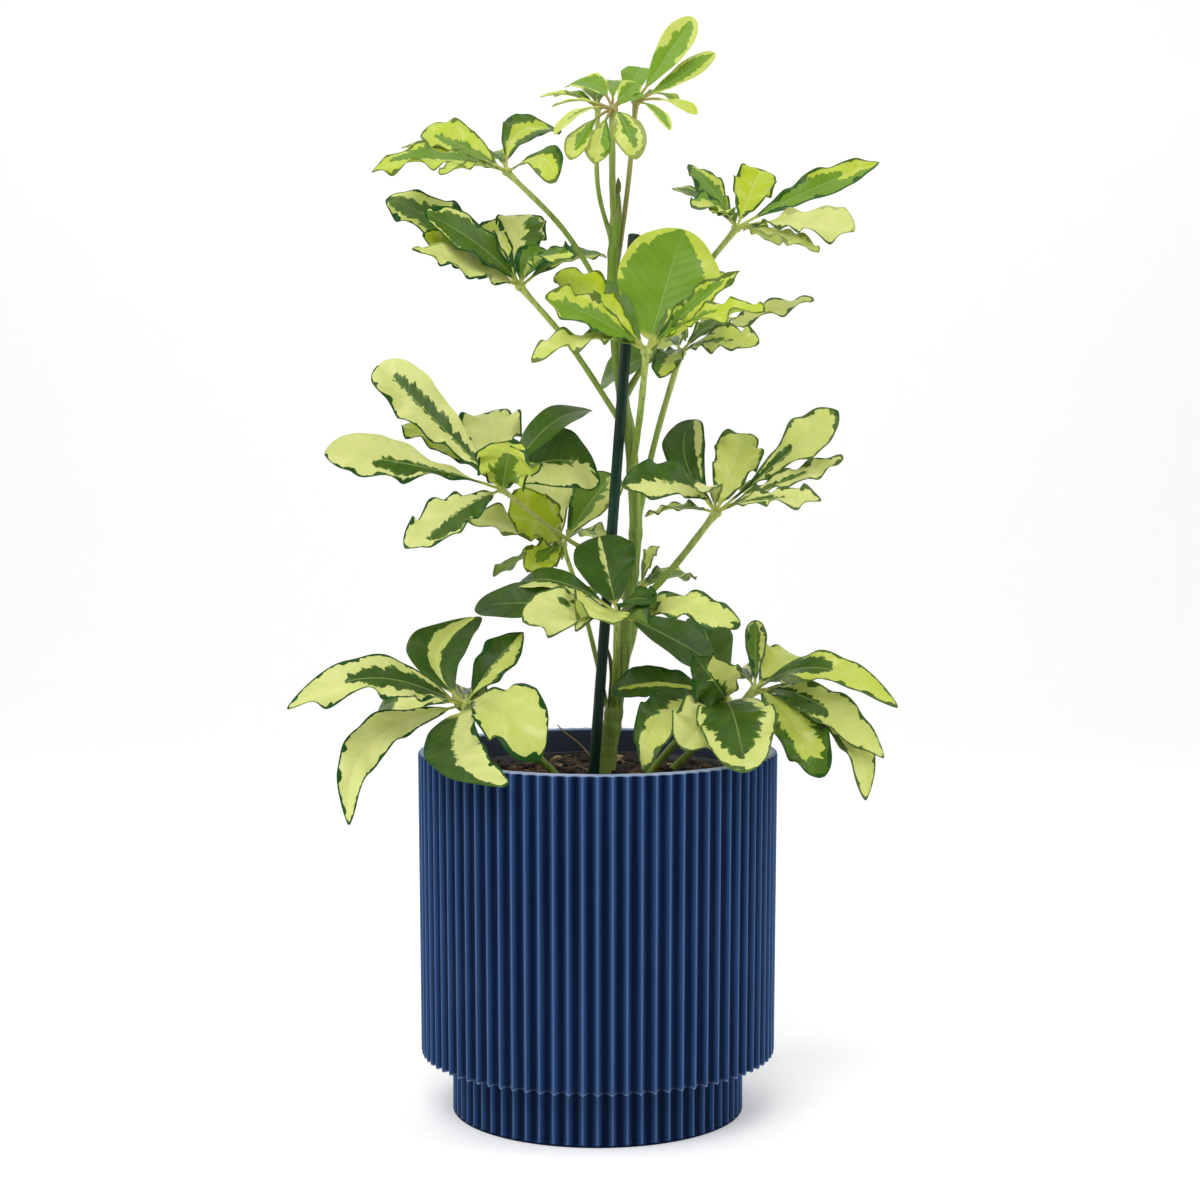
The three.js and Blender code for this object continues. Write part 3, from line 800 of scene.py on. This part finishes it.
fronds["crown_right"] = [
    stalk((9, 0, 458), (16, 6, 508), (21, 6, 559), 1.4, red=0.55, hubRed=0.4, tone=0.55, depth=1,
          ruffle=0.06, line=0, stalkShare=0.16),
    leaf((53, 21, 607), 18, 0, 75, ((0.6, 1.1, 0), (0.95, 0.75, 0.08))),
    leaf((65, 23, 588), 13, -2, 60, (1, 0.72, -0.1)),
    leaf((54, -12, 550), 9, 5, 45, "cream", stalkShare=0.4, outline="spoon", tone=0.75),
    leaf((39, -22, 540), 8, 4, 20, (1, 0.75, 0)),
    leaf((24.5, 27, 580.5), 17, 2, 75, "dark", bend=-3, outline="oval"),
    leaf((44, 36, 562), 14, 5, 20, "wide"),
]
fronds["crown_left"] = [
    stalk((8.4, 0.6, 480), (0, 8, 514), (0, 14, 557), 1.3, red=0.05, hubRed=0.4, tone=0.6, depth=0.9,
          ruffle=0.1, line=0, stalkShare=0.14, outline="oval"),
    leaf((-24, 44, 567), 11, 4, 20, "wide"),
    leaf((-8, 44, 574), 13, 4, 50, "wide"),
    leaf((-32, 18, 563), 10, 4, 20, "slim"),
    leaf((3, 46, 575), 12, 3, 60, "wide"),
]
fronds["upper_left"] = [
    stalk((8, 0, 446), (-18, 2, 488), (-50, 5, 521), 1.5, hubRed=0.1, tone=0.85, depth=0.7, ruffle=0.7,
          line=0.8),
    leaf((-97, 32, 547), 26, 2, 55, (0.85, 0.35, -0.1), ruffle=0.3),
    leaf((-122, -27, 519), 25, 6, 32, (0.85, 0.45, 0.4), outline="lance", wavy=(0.7, 1.3), curl=(-1, -3)),
    leaf((-110, 32, 537), 15, 5, 20, "cream", tone=0.5),
    leaf((-23, 46, 549), 24, 5, 65, dict(edge=0.45, tip=0.9), bend=-11, ruffle=0.3, depth=0.35),
    leaf((-22, -37, 511), 20, 6, 65, (1.2, 0.6, -0.9), bend=-8, skew=0.5, ruffle=0.1, outline=(2.4, 0.4),
         depth=0.35),
    leaf((-83, -44, 514), 15, 4, 10, "cream"),
    leaf((-66, 62, 532), 18, 8, 0, "core"),
]
fronds["second_left"] = [
    stalk((17.5, 0, 376), (-14, -6, 424), (-42, -12, 457), 1.6, tone=0.35, depth=0.3, ruffle=0.85, line=1),
    leaf((-116, 10, 507), 27, 4, 55, (1.1, 0.75, -0.05), bend=3),
    leaf((-91, -59, 493), 23, 6, 60, (1.1, 0.97, -0.08), ruffle=0.35, outline="oval"),
    leaf((-96, -74, 473), 18, 2, 60, "cream", tone=0.25, ruffle=1.2, line=(0.4, 1.5), wavy=(0.5, 1.2),
         outline=(0.9, 0.7)),
    leaf((-63, 21, 495), 16, 4, 80, "cream", tone=0.6),
    leaf((-43, 25, 499), 31, 4, 75, (0.95, 0.42, 0.5), tone=0.15, ruffle=0.5),
    leaf((-29, -8, 478), 17, 4, 62, "dark", ruffle=0.1, outline="oval", depth=0.5, bend=-3),
    leaf((4, 29, 476), 17, 8, 35, (1.2, 0.8, -0.3), ruffle=0.5, depth=0.45, tone=0.8),
    leaf((-13, -59, 469), 19, 8, 40, (0.9, 0.5, -0.5), tone=0.7, depth=0.5),
    leaf((-72, 48, 466), 20, 8, 0, "core"),
    leaf((-92, -54, 481), 20, 0, 60, "cream", tone=0.95),
]
fronds["upper_right"] = [
    stalk((14, 0, 396), (50, 7, 456), (77, 12, 491), 1.6, tone=0.75, depth=0.8),
    leaf((158, 33, 529), 19, 4, 60, ((0.72, 0.7, -0.2), (1.2, 0.6, 0.8)), wavy=(0.3, 1), outline=(1.3, 0.8),
         tone=0.85),
    leaf((137, -35, 485), 27, 5, 45, "cream", tone=0.15, outline="spoon", ruffle=0.9, line=(0.9, 0.3),
         wavy=(1.1, 0.5)),
    leaf((118, -35, 474), 14, 3, 25, "cream", tone=0.3, line=0.6),
    leaf((92, 41, 526), 25, 3, 75, "cream", tone=1, ruffle=0.6),
    leaf((51, 47, 529), 15, 4, 45, (1, 0.8, -0.2), outline="lance", depth=0.7),
    leaf((43, 57, 517), 13, 4, 20, "wide", ruffle=0.3, depth=0.5),
    leaf((50, -29, 499), 18, 5, 50, (1.1, 0.5, 0.8), tone=0.5),
    leaf((62, -31, 495), 14, 4, 30, "cream"),
    leaf((104, 70, 486), 18, 4, 0, "core"),
]
fronds["centre_front"] = [
    stalk((19, 0, 356), (23, -24, 388), (26, -42, 421), 1.8, tone=0.8, depth=0.85, line=0.8),
    leaf((46, -24, 487), 55, -4, 85, (1.06, 0.86, -0.12), ruffle=0.12, outline="round", line=0, jag=0.5,
         fold=6),
    leaf((-27, -83, 447), 24, 4, 55, (1, 0.85, -0.3), ruffle=0.6),
    leaf((-33, -93, 417), 17, 9, 35, "cream", ruffle=1.5, outline=(2.2, 0.6), tone=0.5, curl=(-3, 0)),
    leaf((75, -60, 463), 14, 4, 55, (0.85, 0.6, -0.1), ruffle=1, outline="lance", curl=(3, 2)),
    leaf((86, -88, 441), 20, 7, 35, (0.6, 0.3, -0.3), ruffle=1.3, tone=0.95),
    leaf((-22, -22, 464), 24, 5, 55, "cream", tone=1),
    leaf((68, -12, 465), 18, 5, 30, "cream"),
    leaf((0, -28, 459), 17, 2, 65, "dark", ruffle=0.1, depth=0.45, line=0),
]
fronds["centre_back"] = [
    stalk((21, 0, 322), (31, 7, 370), (46, 10, 422), 1.7, tone=0.55, depth=0.4),
    leaf((122, 37, 453), 15, 4, 30, "cream", tone=0.2, ruffle=1.2),
    leaf((86, -34, 425), 21, 5, 50, "slim"),
    leaf((33, -36, 407), 16, 6, 50, (1.15, 1, 1), ruffle=0.4, tone=0.8),
    leaf((2, 60, 406), 25, 6, 60, "dark", ruffle=0, line=0, outline="oval", tone=0.8),
    leaf((79, 58, 443), 16, 6, 35, (0.9, 0.7, 0)),
    leaf((38, 82, 426), 22, 8, 10, "core"),
]
fronds["mid_left"] = [
    stalk((19, 0, 300), (-18, -6, 320), (-52, -22, 347), 1.25, red=0.3, tone=0.05, depth=0.15, line=1),
    leaf((-121, 2, 415), 29, 2, 60, (0.88, 0.32, 0.2), outline=(2.3, 0.38), wavy=(0.4, 1.5), line=(0, 1)),
    leaf((-143, -68, 367), 28, 3, 60, (0.74, 0.5, -0.25), outline="spoon", wavy=(0.5, 1.1), bend=2,
         line=(0.1, 1)),
    leaf((-99, -83, 318), 25, 4, 55, (0.85, 0.5, -0.45), outline=(1.4, 0.5), wavy=(1.2, 0.8)),
    leaf((-62, 27, 389), 35, 5, 70, dict(edge=0.97, tip=0.93), ruffle=0.8),
    leaf((-3, 22, 390), 20, 16, 40, "dark", ruffle=0, outline="lance", line=0, depth=0.2),
    leaf((-46, -45, 374), 34, 5, 95, (0.8, 0.6, 0), tone=0.75, depth=0.6, ruffle=1.2),
    leaf((-0.5, 2, 357), 38, 2, 75, dict(core=(1.2, 0.9, -0.75), tip=0.93), bend=-10, ruffle=0.15,
         outline=(1.7, 0.4)),
    leaf((-109, 29, 382), 22, 5, 30, "cream", tone=0.9),
]
fronds["mid_left_back"] = [
    stalk((7.7, 0, 214), (-6, 16, 272), (-20, 38, 314), 1.35, tone=0.4, depth=0.5, ruffle=0.6, line=0.8),
    leaf((-31, 82, 356), 30, 5, 75, "cream", tone=0.05),
    leaf((-47, -2, 345), 28, 6, 85, "cream", tone=1),
    leaf((-72, -9, 330), 21, 5, 50, "cream", tone=0.1),
    leaf((9, 82, 353), 27, 5, 60, (1.1, 1.1, -0.7), ruffle=0.1, depth=0.6, outline="oval"),
    leaf((-38, -4, 301), 21, 4, 60, "core", tone=0.9, depth=0.7, ruffle=1),
    leaf((-61, 84, 293), 14, 3, 0, "dark", depth=0.6),
    leaf((2, 104, 312), 22, 8, 0, "core"),
]
fronds["mid_right"] = [
    stalk((16.6, 0, 276), (42, -5, 304), (65, -10, 334), 1.9, tone=0.1, depth=0.15),
    leaf((53, 37, 385), 25, 6, 60, dict(core=(9, 9, 0), streak=(0.7, 0.02, 0.25)), bend=-10, ruffle=0.15,
         outline="oval"),
    leaf((83, 21, 378), 27, 5, 75, dict(edge=0.99, tip=0.95), ruffle=1, outline=(1.3, 0.6), curl=(0, 3),
         tone=0.45),
    leaf((134, 17, 390), 24, -2, 65, dict(core=(0.66, 0.45, -0.2), tip=0.97), outline=(2.5, 0.72), tone=0.3),
    leaf((137, 19, 361), 13, 4, 45, "slim", ruffle=1.4, curl=(5, 0)),
    leaf((117, -64, 342), 17, 5, 40, "slim", ruffle=1.1),
    leaf((13, -52, 349), 28, 13, 50, dict(core=(1.2, 0.62, 0.6), edge=0.85), outline=(1.7, 0.5), ruffle=0.4),
    leaf((28, 42, 330), 14, 4, 30, "core", tone=0.9, depth=0.6),
    leaf((54, -59, 346), 15, 8, 30, "cream"),
    leaf((86, 58, 342), 22, 8, 0, "core"),
]
fronds["low_front"] = [
    stalk((9, 0, 224), (10, -21, 250), (10.5, -40, 281), 1.9, hubRed=0.1, tone=0.15, depth=0.12, ruffle=0.6),
    leaf((1, -16, 321), 36, 2, 75, dict(core=(9, 9, 0), streak=(-0.06, 0.05, 0.1)), ruffle=0.1, line=0,
         outline="oval", fold=20, jag=0.4),
    leaf((-39, -84, 280), 28, 6, 55, (0.6, 0.22, 0.4), wavy=(0.4, 1.3), ruffle=0.9),
    leaf((-45, 2, 293), 18, 12, 45, (1.2, 0.8, 0.4), ruffle=0.05, line=0),
    leaf((-68, 1, 281), 25, 6, 52, "dark", ruffle=0, line=0, outline="oval"),
    leaf((8, -90, 279), 46, 3, 28, (1.2, 0.6, -0.8), fold=16, tone=0.4, ruffle=0.8, outline=(1, 0.35),
         stalkShare=0.03),
    leaf((30, -79, 290), 18, 5, 50, "dark", ruffle=0.3, tone=0.6),
    leaf((73, -90, 277), 21, 11, 45, dict(edge=0.82, tip=0.95), wavy=(1.3, 0.8), ruffle=0.8, tone=0.3,
         skew=0.4, outline=(1.5, 0.35), fold=6),
    leaf((64, -18, 251), 25, 3, 55, "dark", ruffle=0, outline="oval", line=0),
]
fronds["low_back"] = [
    stalk((11.8, 0, 240), (20, 20, 262), (24, 40, 288), 1.5, tone=0.4, depth=0.5, ruffle=0.5, line=0.8),
    leaf((33, 84, 311), 8, 4, 40, "cream", tone=0.8, ruffle=1, curl=(0, 3)),
    leaf((51, 94, 290), 18, 6, 30, "dark"),
    leaf((56, 70, 293), 18, 5, 20, "wide"),
    leaf((18, 98, 276), 20, 8, 0, "core"),
    leaf((-18, 84, 268), 18, 8, 0, "core"),
]
fronds["base_right_front"] = [
    stalk((16, -12, 174), (44, -18.5, 209), (70, -28, 232), 2.1, tone=0.25, depth=0.15, ruffle=0.6),
    leaf((8, -20, 237), 21, 12, 50, dict(core=(9, 9, 0), streak=(-0.15, 0.25, 0.12)), ruffle=0.4, tone=0.7,
         outline=(1.9, 0.42)),
    leaf((24, -73, 200), 27, 10, 55, (0.95, 0.6, 0.8), bend=13, skew=0.3, tone=0.4, outline=(1, 0.6)),
    leaf((45, -72, 211), 33, 8, 60, "cream", tone=0.2),
    leaf((77, -91, 202), 42, 10, 60, (0.9, 0.84, 0.08), ruffle=0.35, outline=(1.15, 0.4)),
    leaf((51, -55, 260), 31, 8, 80, dict(core=(1.3, 0.9, -0.7), tip=0.8), ruffle=0.6, outline="lance",
         tone=0.4),
    leaf((57, 24, 274), 28, 6, 60, "dark", ruffle=0.15, outline="oval", line=0),
]
fronds["base_right"] = [
    stalk((25, 3, 174), (54, 6, 201.5), (88, 8, 234), 2.1, tone=0.3, depth=0.15, ruffle=0.6),
    leaf((90, 35, 271), 13, 3, 60, (1, 0.7, -0.2), ruffle=0.2, depth=0.4),
    leaf((110, 49, 251), 24, 5, 55, "cream", tone=0.6, ruffle=0.4),
    leaf((161, -48, 231), 21, 24, 48, (0.62, 0.8, -0.05), skew=0.3, tone=0.7, wavy=(1, 0.4),
         outline=(1.15, 0.62)),
    leaf((154, -45, 203), 24, 18, 50, (0.6, 0.7, 0.35), wavy=(0.8, 0.8), outline=(1.2, 0.65)),
    leaf((145, -43, 180), 21, 16, 48, "cream", bend=-12, skew=0.7, outline=(2, 0.6)),
    leaf((121, -47, 193), 30, 14, 50, "edge", tone=0.65, depth=0.3, ruffle=1),
    leaf((157, 15, 197), 20, 16, 45, "wide", depth=0.2),
    leaf((118, 72, 222), 24, 12, 10, "wide"),
    leaf((74, 80, 226), 22, 12, 0, "core"),
]
fronds["base_left"] = [
    stalk((-11, -17, 174), (-31, -20.5, 198.5), (-72, -25, 230), 2.1, tone=0.08, depth=0.12, ruffle=0.45,
          line=1),
    leaf((-162, -76, 235), 27, 23, 52, (0.75, 0.62, 0), skew=0.55, wavy=(0.3, 3.2), outline=(1.1, 0.62),
         curl=(-3, 0)),
    leaf((-131, -76, 172), 24, 12, 52, "cream", bend=18, skew=0.4, outline=(1.1, 0.6), ruffle=0.6),
    leaf((-48, -100, 196), 32, 3, 60, (1.2, 0.8, 0.75), bend=17, skew=0.3, wavy=(0.1, 1.1),
         outline=(0.9, 0.42)),
    leaf((-30, -77, 207), 38, 16, 55, "cream", bend=-4, skew=0.2, wavy=(0.9, 0.6), ruffle=0.7, tone=0.4),
    leaf((-74, 10, 273), 37, 3, 75, dict(core=(9, 9, 0), streak=(-0.05, 0.03, 0.42)), bend=-16, ruffle=0.1,
         line=0, tone=0.4, curl=(3, 5)),
    leaf((-41, -10, 268), 22, 5, 55, dict(core=(1.2, 0.62, -0.5), edge=0.75), ruffle=0.4, outline="lance",
         tone=0.5),
    leaf((-125, 26, 219), 24, 10, 60, dict(tip=0.62)),
    leaf((-74, 50, 214), 22, 12, 0, "core"),
]


def guideField(mark, share, across):
    # Above 0 the leaflet is green. A core is a patch round a line at shift, and its half width falls to 0
    # at its end. An edge is green outside a share of the width, and a tip beyond a share of the length. A
    # streak is a pale line through the green, with its own half width at the base and at the tip.
    guide = -1 + 0 * share * across
    for end, wide, shift in np.reshape(mark.get("core", ()), (-1, 3)):
        patch = wide * np.sqrt(np.clip(1 - np.clip(share / end, 0, 1) ** 3, 0, 1)) - abs(across - shift)
        guide = np.maximum(guide, np.where(share > end, -0.5 - 2 * (share - end), patch))
    if "edge" in mark:
        guide = np.maximum(guide, abs(across) - mark["edge"])
    if "tip" in mark:
        guide = np.maximum(guide, 3 * (share - mark["tip"]))
    if "streak" in mark:
        at, base, tip = mark["streak"]
        guide = np.minimum(guide, (abs(across - at) - base - (tip - base) * share) * 2.5)
    return guide


def ripples(table, share, phase, second):
    # The sum of height sin(2 pi count share + leafPhase phase + sidePhase second).
    return sum(
        height * np.sin(turnRound * count * share + leafPhase * phase + sidePhase * second)
        for height, count, leafPhase, sidePhase in table
    )


def leafletShape(frond, one, number, index):
    # A point at a share of the length and a place across, from -1 to 1:
    #   middle = hub + along length reached + (up arch + side bend) 4 reached (1 - reached), leant over by
    #     skew, and the last quarter hooks by curl
    #   half width = width / 2 sin(pi share^blunt)^power, with small waves on a ruffled leaflet
    #   point = middle + side half across cos(fold) + up (half |across| sin(fold) + waves |across|^1.6)
    # Round each row the place across is cos(turn), and half the thickness times sin(turn) stands off it.
    # Its waviness and the dark line along its margin can differ between the two sides.
    one = {**frond, **one}
    hub = np.array(frond["hub"], float)
    reach = np.array(one["tip"], float) - hub
    length = np.linalg.norm(reach)
    along = reach / length
    lean = np.radians(one["lean"])
    face = np.array([0, -np.sin(lean), np.cos(lean)])
    up = unit(face - face.dot(along) * along)
    side = np.cross(along, up)
    phase = 2.4 * (index + number)
    width, stalkShare, fold = one["width"], one["stalkShare"], np.radians(one["fold"])
    blunt, power = outlines.get(one["outline"], one["outline"])
    bulge = up * one["arch"] + side * one["bend"]
    curlUp, curlSide = one["curl"]
    hooked = up * curlUp + side * curlSide

    def halfWidth(share, across):
        second = across > 0
        body = width / 2 * np.sin(np.pi * np.clip(share, 0, 0.9995) ** blunt) ** power
        wild = one["ruffle"] * np.where(second, *one["wavy"])
        wild = wild * smoothStep(0.1, 0.4, share) * smoothStep(1, 0.86, share)
        body = body * (1 + wild * ripples(blade["outlineRipples"], share, phase, second))
        return np.maximum(body, blade["stalkWidth"] / 2 * (1 - 0.95 * smoothStep(0.9, 1, share)))

    def surface(share, across):
        second = across > 0
        reached = stalkShare + (1 - stalkShare) * share
        bow = 4 * reached * (1 - reached) * (1 + one["skew"] * (2 * reached - 1))
        wild = one["ruffle"] * np.where(second, *one["wavy"])
        half = halfWidth(share, across)
        wave = np.sin(turnRound * blade["waves"] * share + phase + 1.9 * second)
        wave = width * blade["waveHeight"] * wave * (0.3 + 0.7 * np.minimum(1, wild))
        fine = width * wild * ripples(blade["marginRipples"], share, phase, second)
        settle = np.clip(3 * share, 0, 1) * (0.25 + 0.75 * smoothStep(1, 0.84, share))
        waves = settle * (wave * abs(across) ** 1.6 + fine * abs(across) ** 2.6)
        rise = half * abs(across) * np.sin(fold) + waves
        hook = np.clip((share - 0.75) / 0.25, 0, 1) ** 2
        flat = half * across * np.cos(fold)
        ways = (along * length, reached), (bulge, bow), (hooked, hook), (side, flat), (up, rise)
        return hub + sum(way * amount[..., None] for way, amount in ways)

    u = np.linspace(0, 1, blade["rows"])
    stalkRows = np.linspace(-stalkShare / (1 - stalkShare), 0, 7)[:-1]
    share = np.concatenate([stalkRows, np.sin(np.pi / 2 * u) ** 1.15 * 0.999])[:, None]
    share, turn = np.broadcast_arrays(share, around(blade["columns"]))
    across = np.cos(turn)
    small = 0.002
    ahead = surface(share + small, across) - surface(share - small, across)
    aside = surface(share, across + small) - surface(share, across - small)
    normal = unit(np.cross(ahead, aside))
    normal = normal * np.sign(normal @ up + 1e-9)[..., None]
    stalky = 1 - smoothStep(0, 0.12, share)
    thick = blade["thickness"] + (blade["stalkThickness"] - blade["thickness"]) * stalky
    stand = thick / 2 * np.sign(np.sin(turn)) * abs(np.sin(turn)) ** 0.6
    points = surface(share, across) + normal * stand[..., None]
    half = halfWidth(share, across)
    margin = np.minimum((1 - abs(across)) * half, (1 - share) * length * 0.8)
    mark = one["mark"]
    guide = guideField(markings[mark] if isinstance(mark, str) else mark, share, across) / one["jag"]
    line = np.where(across > 0, *np.broadcast_to(one["line"], 2))
    under = smoothStep(0.1, -0.1, np.sin(turn))
    marks = dict(
        leafSpot=triple(across * half, share * length, 7.3 * phase),
        leafLook=triple(guide, one["tone"], one["depth"]),
        leafEdge=triple(margin, under, share),
        leafTrim=triple(line, one["hubRed"], stalky),
    )
    return rings(points, marks)


def stalkShapes(frond, number):
    # The stalk is a rod through root, bend and hub, wider at its foot and where it flares into the hub,
    # which is a low ball that the leaflets' own stalks leave.
    steps = 40
    path = curveThrough([frond["root"], frond["bend"], frond["hub"]], steps)
    t = np.linspace(0, 1, steps)
    foot = leafStalk["footSwell"] * np.clip(1 - t / 0.12, 0, 1)
    swell = 1 + foot + leafStalk["hubSwell"] * smoothStep(0.9, 1, t)
    radius = frond["radius"] * swell * (1 + 0.03 * np.sin(t * 31 + number))
    look = triple(t, frond["red"], 0)[:, None]
    hub = ball(14, 24, 0.15) * [1, 1, 0.85] * (frond["radius"] + leafStalk["hubMore"])
    hub = hub * (1 + 0.08 * np.sin(5 * around(24) + number))[..., None] + frond["hub"]
    shapes = [
        rings(rod(path, radius, 18), dict(stalkLook=look)),
        rings(hub, dict(stalkLook=np.array([1.0, frond["hubRed"], 0]))),
    ]
    for shape in shapes:
        shape["material"] = 1
    return shapes


def bladeMaterial():
    # Pale leaf with green patches. The patches' borders step along the side veins, which leave the midrib
    # forwards, so their noise is long along a vein and short across it.
    b = blade
    start = startMaterial("leaf_blade")
    across, along, seed = start.mark("leafSpot")
    guide, tone, depth = start.mark("leafLook")
    margin, under, share = start.mark("leafEdge")
    line, red, stalky = start.mark("leafTrim")
    side = abs(across)
    vein = along - side * 0.8
    halfSide = across.math("SIGN", across) * 9
    teeth = start.join(vein * 0.26, side * 0.07, seed + halfSide).noise(1, 3, 0.5)
    patches = start.join(vein * 0.10, across * 0.09, seed + 40).noise(1, 2)
    border = guide + (teeth - 0.5) * 0.8 + (patches - 0.5) * 0.6
    green = border.step(-0.025, 0.025)
    fleck = start.join(vein * 0.9, side * 0.3, seed + 80).noise(1, 2)
    ribs = (vein * (turnRound / 6.5)).sine()
    midrib = (1 - side.step(0.2, 0.6)) * (1 - share.step(0.6, 1))
    pale = start.mix(b["creamColour"], b["limeColour"], tone + (fleck - 0.5) * 0.3)
    pale = start.mix(pale, b["brightColour"], patches.step(0.5, 0.8) * 0.5)
    pale = start.mix(pale, b["dullColour"], (1 - patches).step(0.52, 0.8) * 0.35)
    leafGreen = start.mix(b["darkColour"], b["midColour"], depth + (patches - 0.5) * 0.35)
    halo = (1 - border.step(0.08, 0.14)) * patches.step(0.5, 0.56)
    leafGreen = start.mix(leafGreen, b["haloColour"], halo * 0.6)
    veins = ribs.step(0.85, 1) * (depth * 0.12 + 0.03) + midrib * 0.5
    leafGreen = start.mix(leafGreen, b["veinColour"], veins)
    colour = start.mix(pale, leafGreen, green)
    colour = start.mix(colour, b["midribColour"], midrib * (1 - green) * 0.6)
    scraps = start.join(along * 0.11, halfSide * 3, seed + 60).noise(1, 2).step(0.5, 0.66)
    rim = (1 - (margin + (teeth - 0.5) * 2.2 - (scraps * 2.2 + 1.1)).step(-0.1, 0.1)) * line
    colour = start.mix(colour, b["lineColour"], rim)
    colour = start.mix(colour, b["underColour"], under * 0.4)
    stalk = start.mix(b["stalkColour"], b["redColour"], red)
    colour = start.mix(colour, stalk, stalky.step(0.3, 1))
    height = ribs * 0.12 - midrib * 1.2 + fleck * 0.3 + patches * 2
    roughness = under * 0.25 + (fleck - 0.5) * 0.15 + 0.4
    sockets = {"Specular IOR Level": 0.25, "Normal": height.bump(0.6, 0.4)}
    return start.shade(colour, roughness, sockets)


def stalkMaterial():
    start = startMaterial("leaf_stalk")
    spot = start.place()
    share, red, _ = start.mark("stalkLook")
    streak = spot.streaks(500, 30)
    colour = start.mix(leafStalk["lowColour"], leafStalk["highColour"], share.step(0.4, 1))
    colour = start.mix(colour, leafStalk["redColour"], red * 0.8)
    colour = start.mix(colour, leafStalk["streakColour"], streak.step(0.45, 0.7) * 0.6)
    return start.shade(colour, streak * 0.15 + 0.42, {"Normal": streak.bump(0.3, 0.2)})


def addFronds():
    materials = [bladeMaterial(), stalkMaterial()]
    for number, (name, (frond, *leaflets)) in enumerate(fronds.items()):
        shapes = [leafletShape(frond, one, number, index) for index, one in enumerate(leaflets)]
        addPiece("leaf_" + name, shapes + stalkShapes(frond, number), materials, "frond_" + name)


addFronds()
print("fronds made")

print("all pieces made")
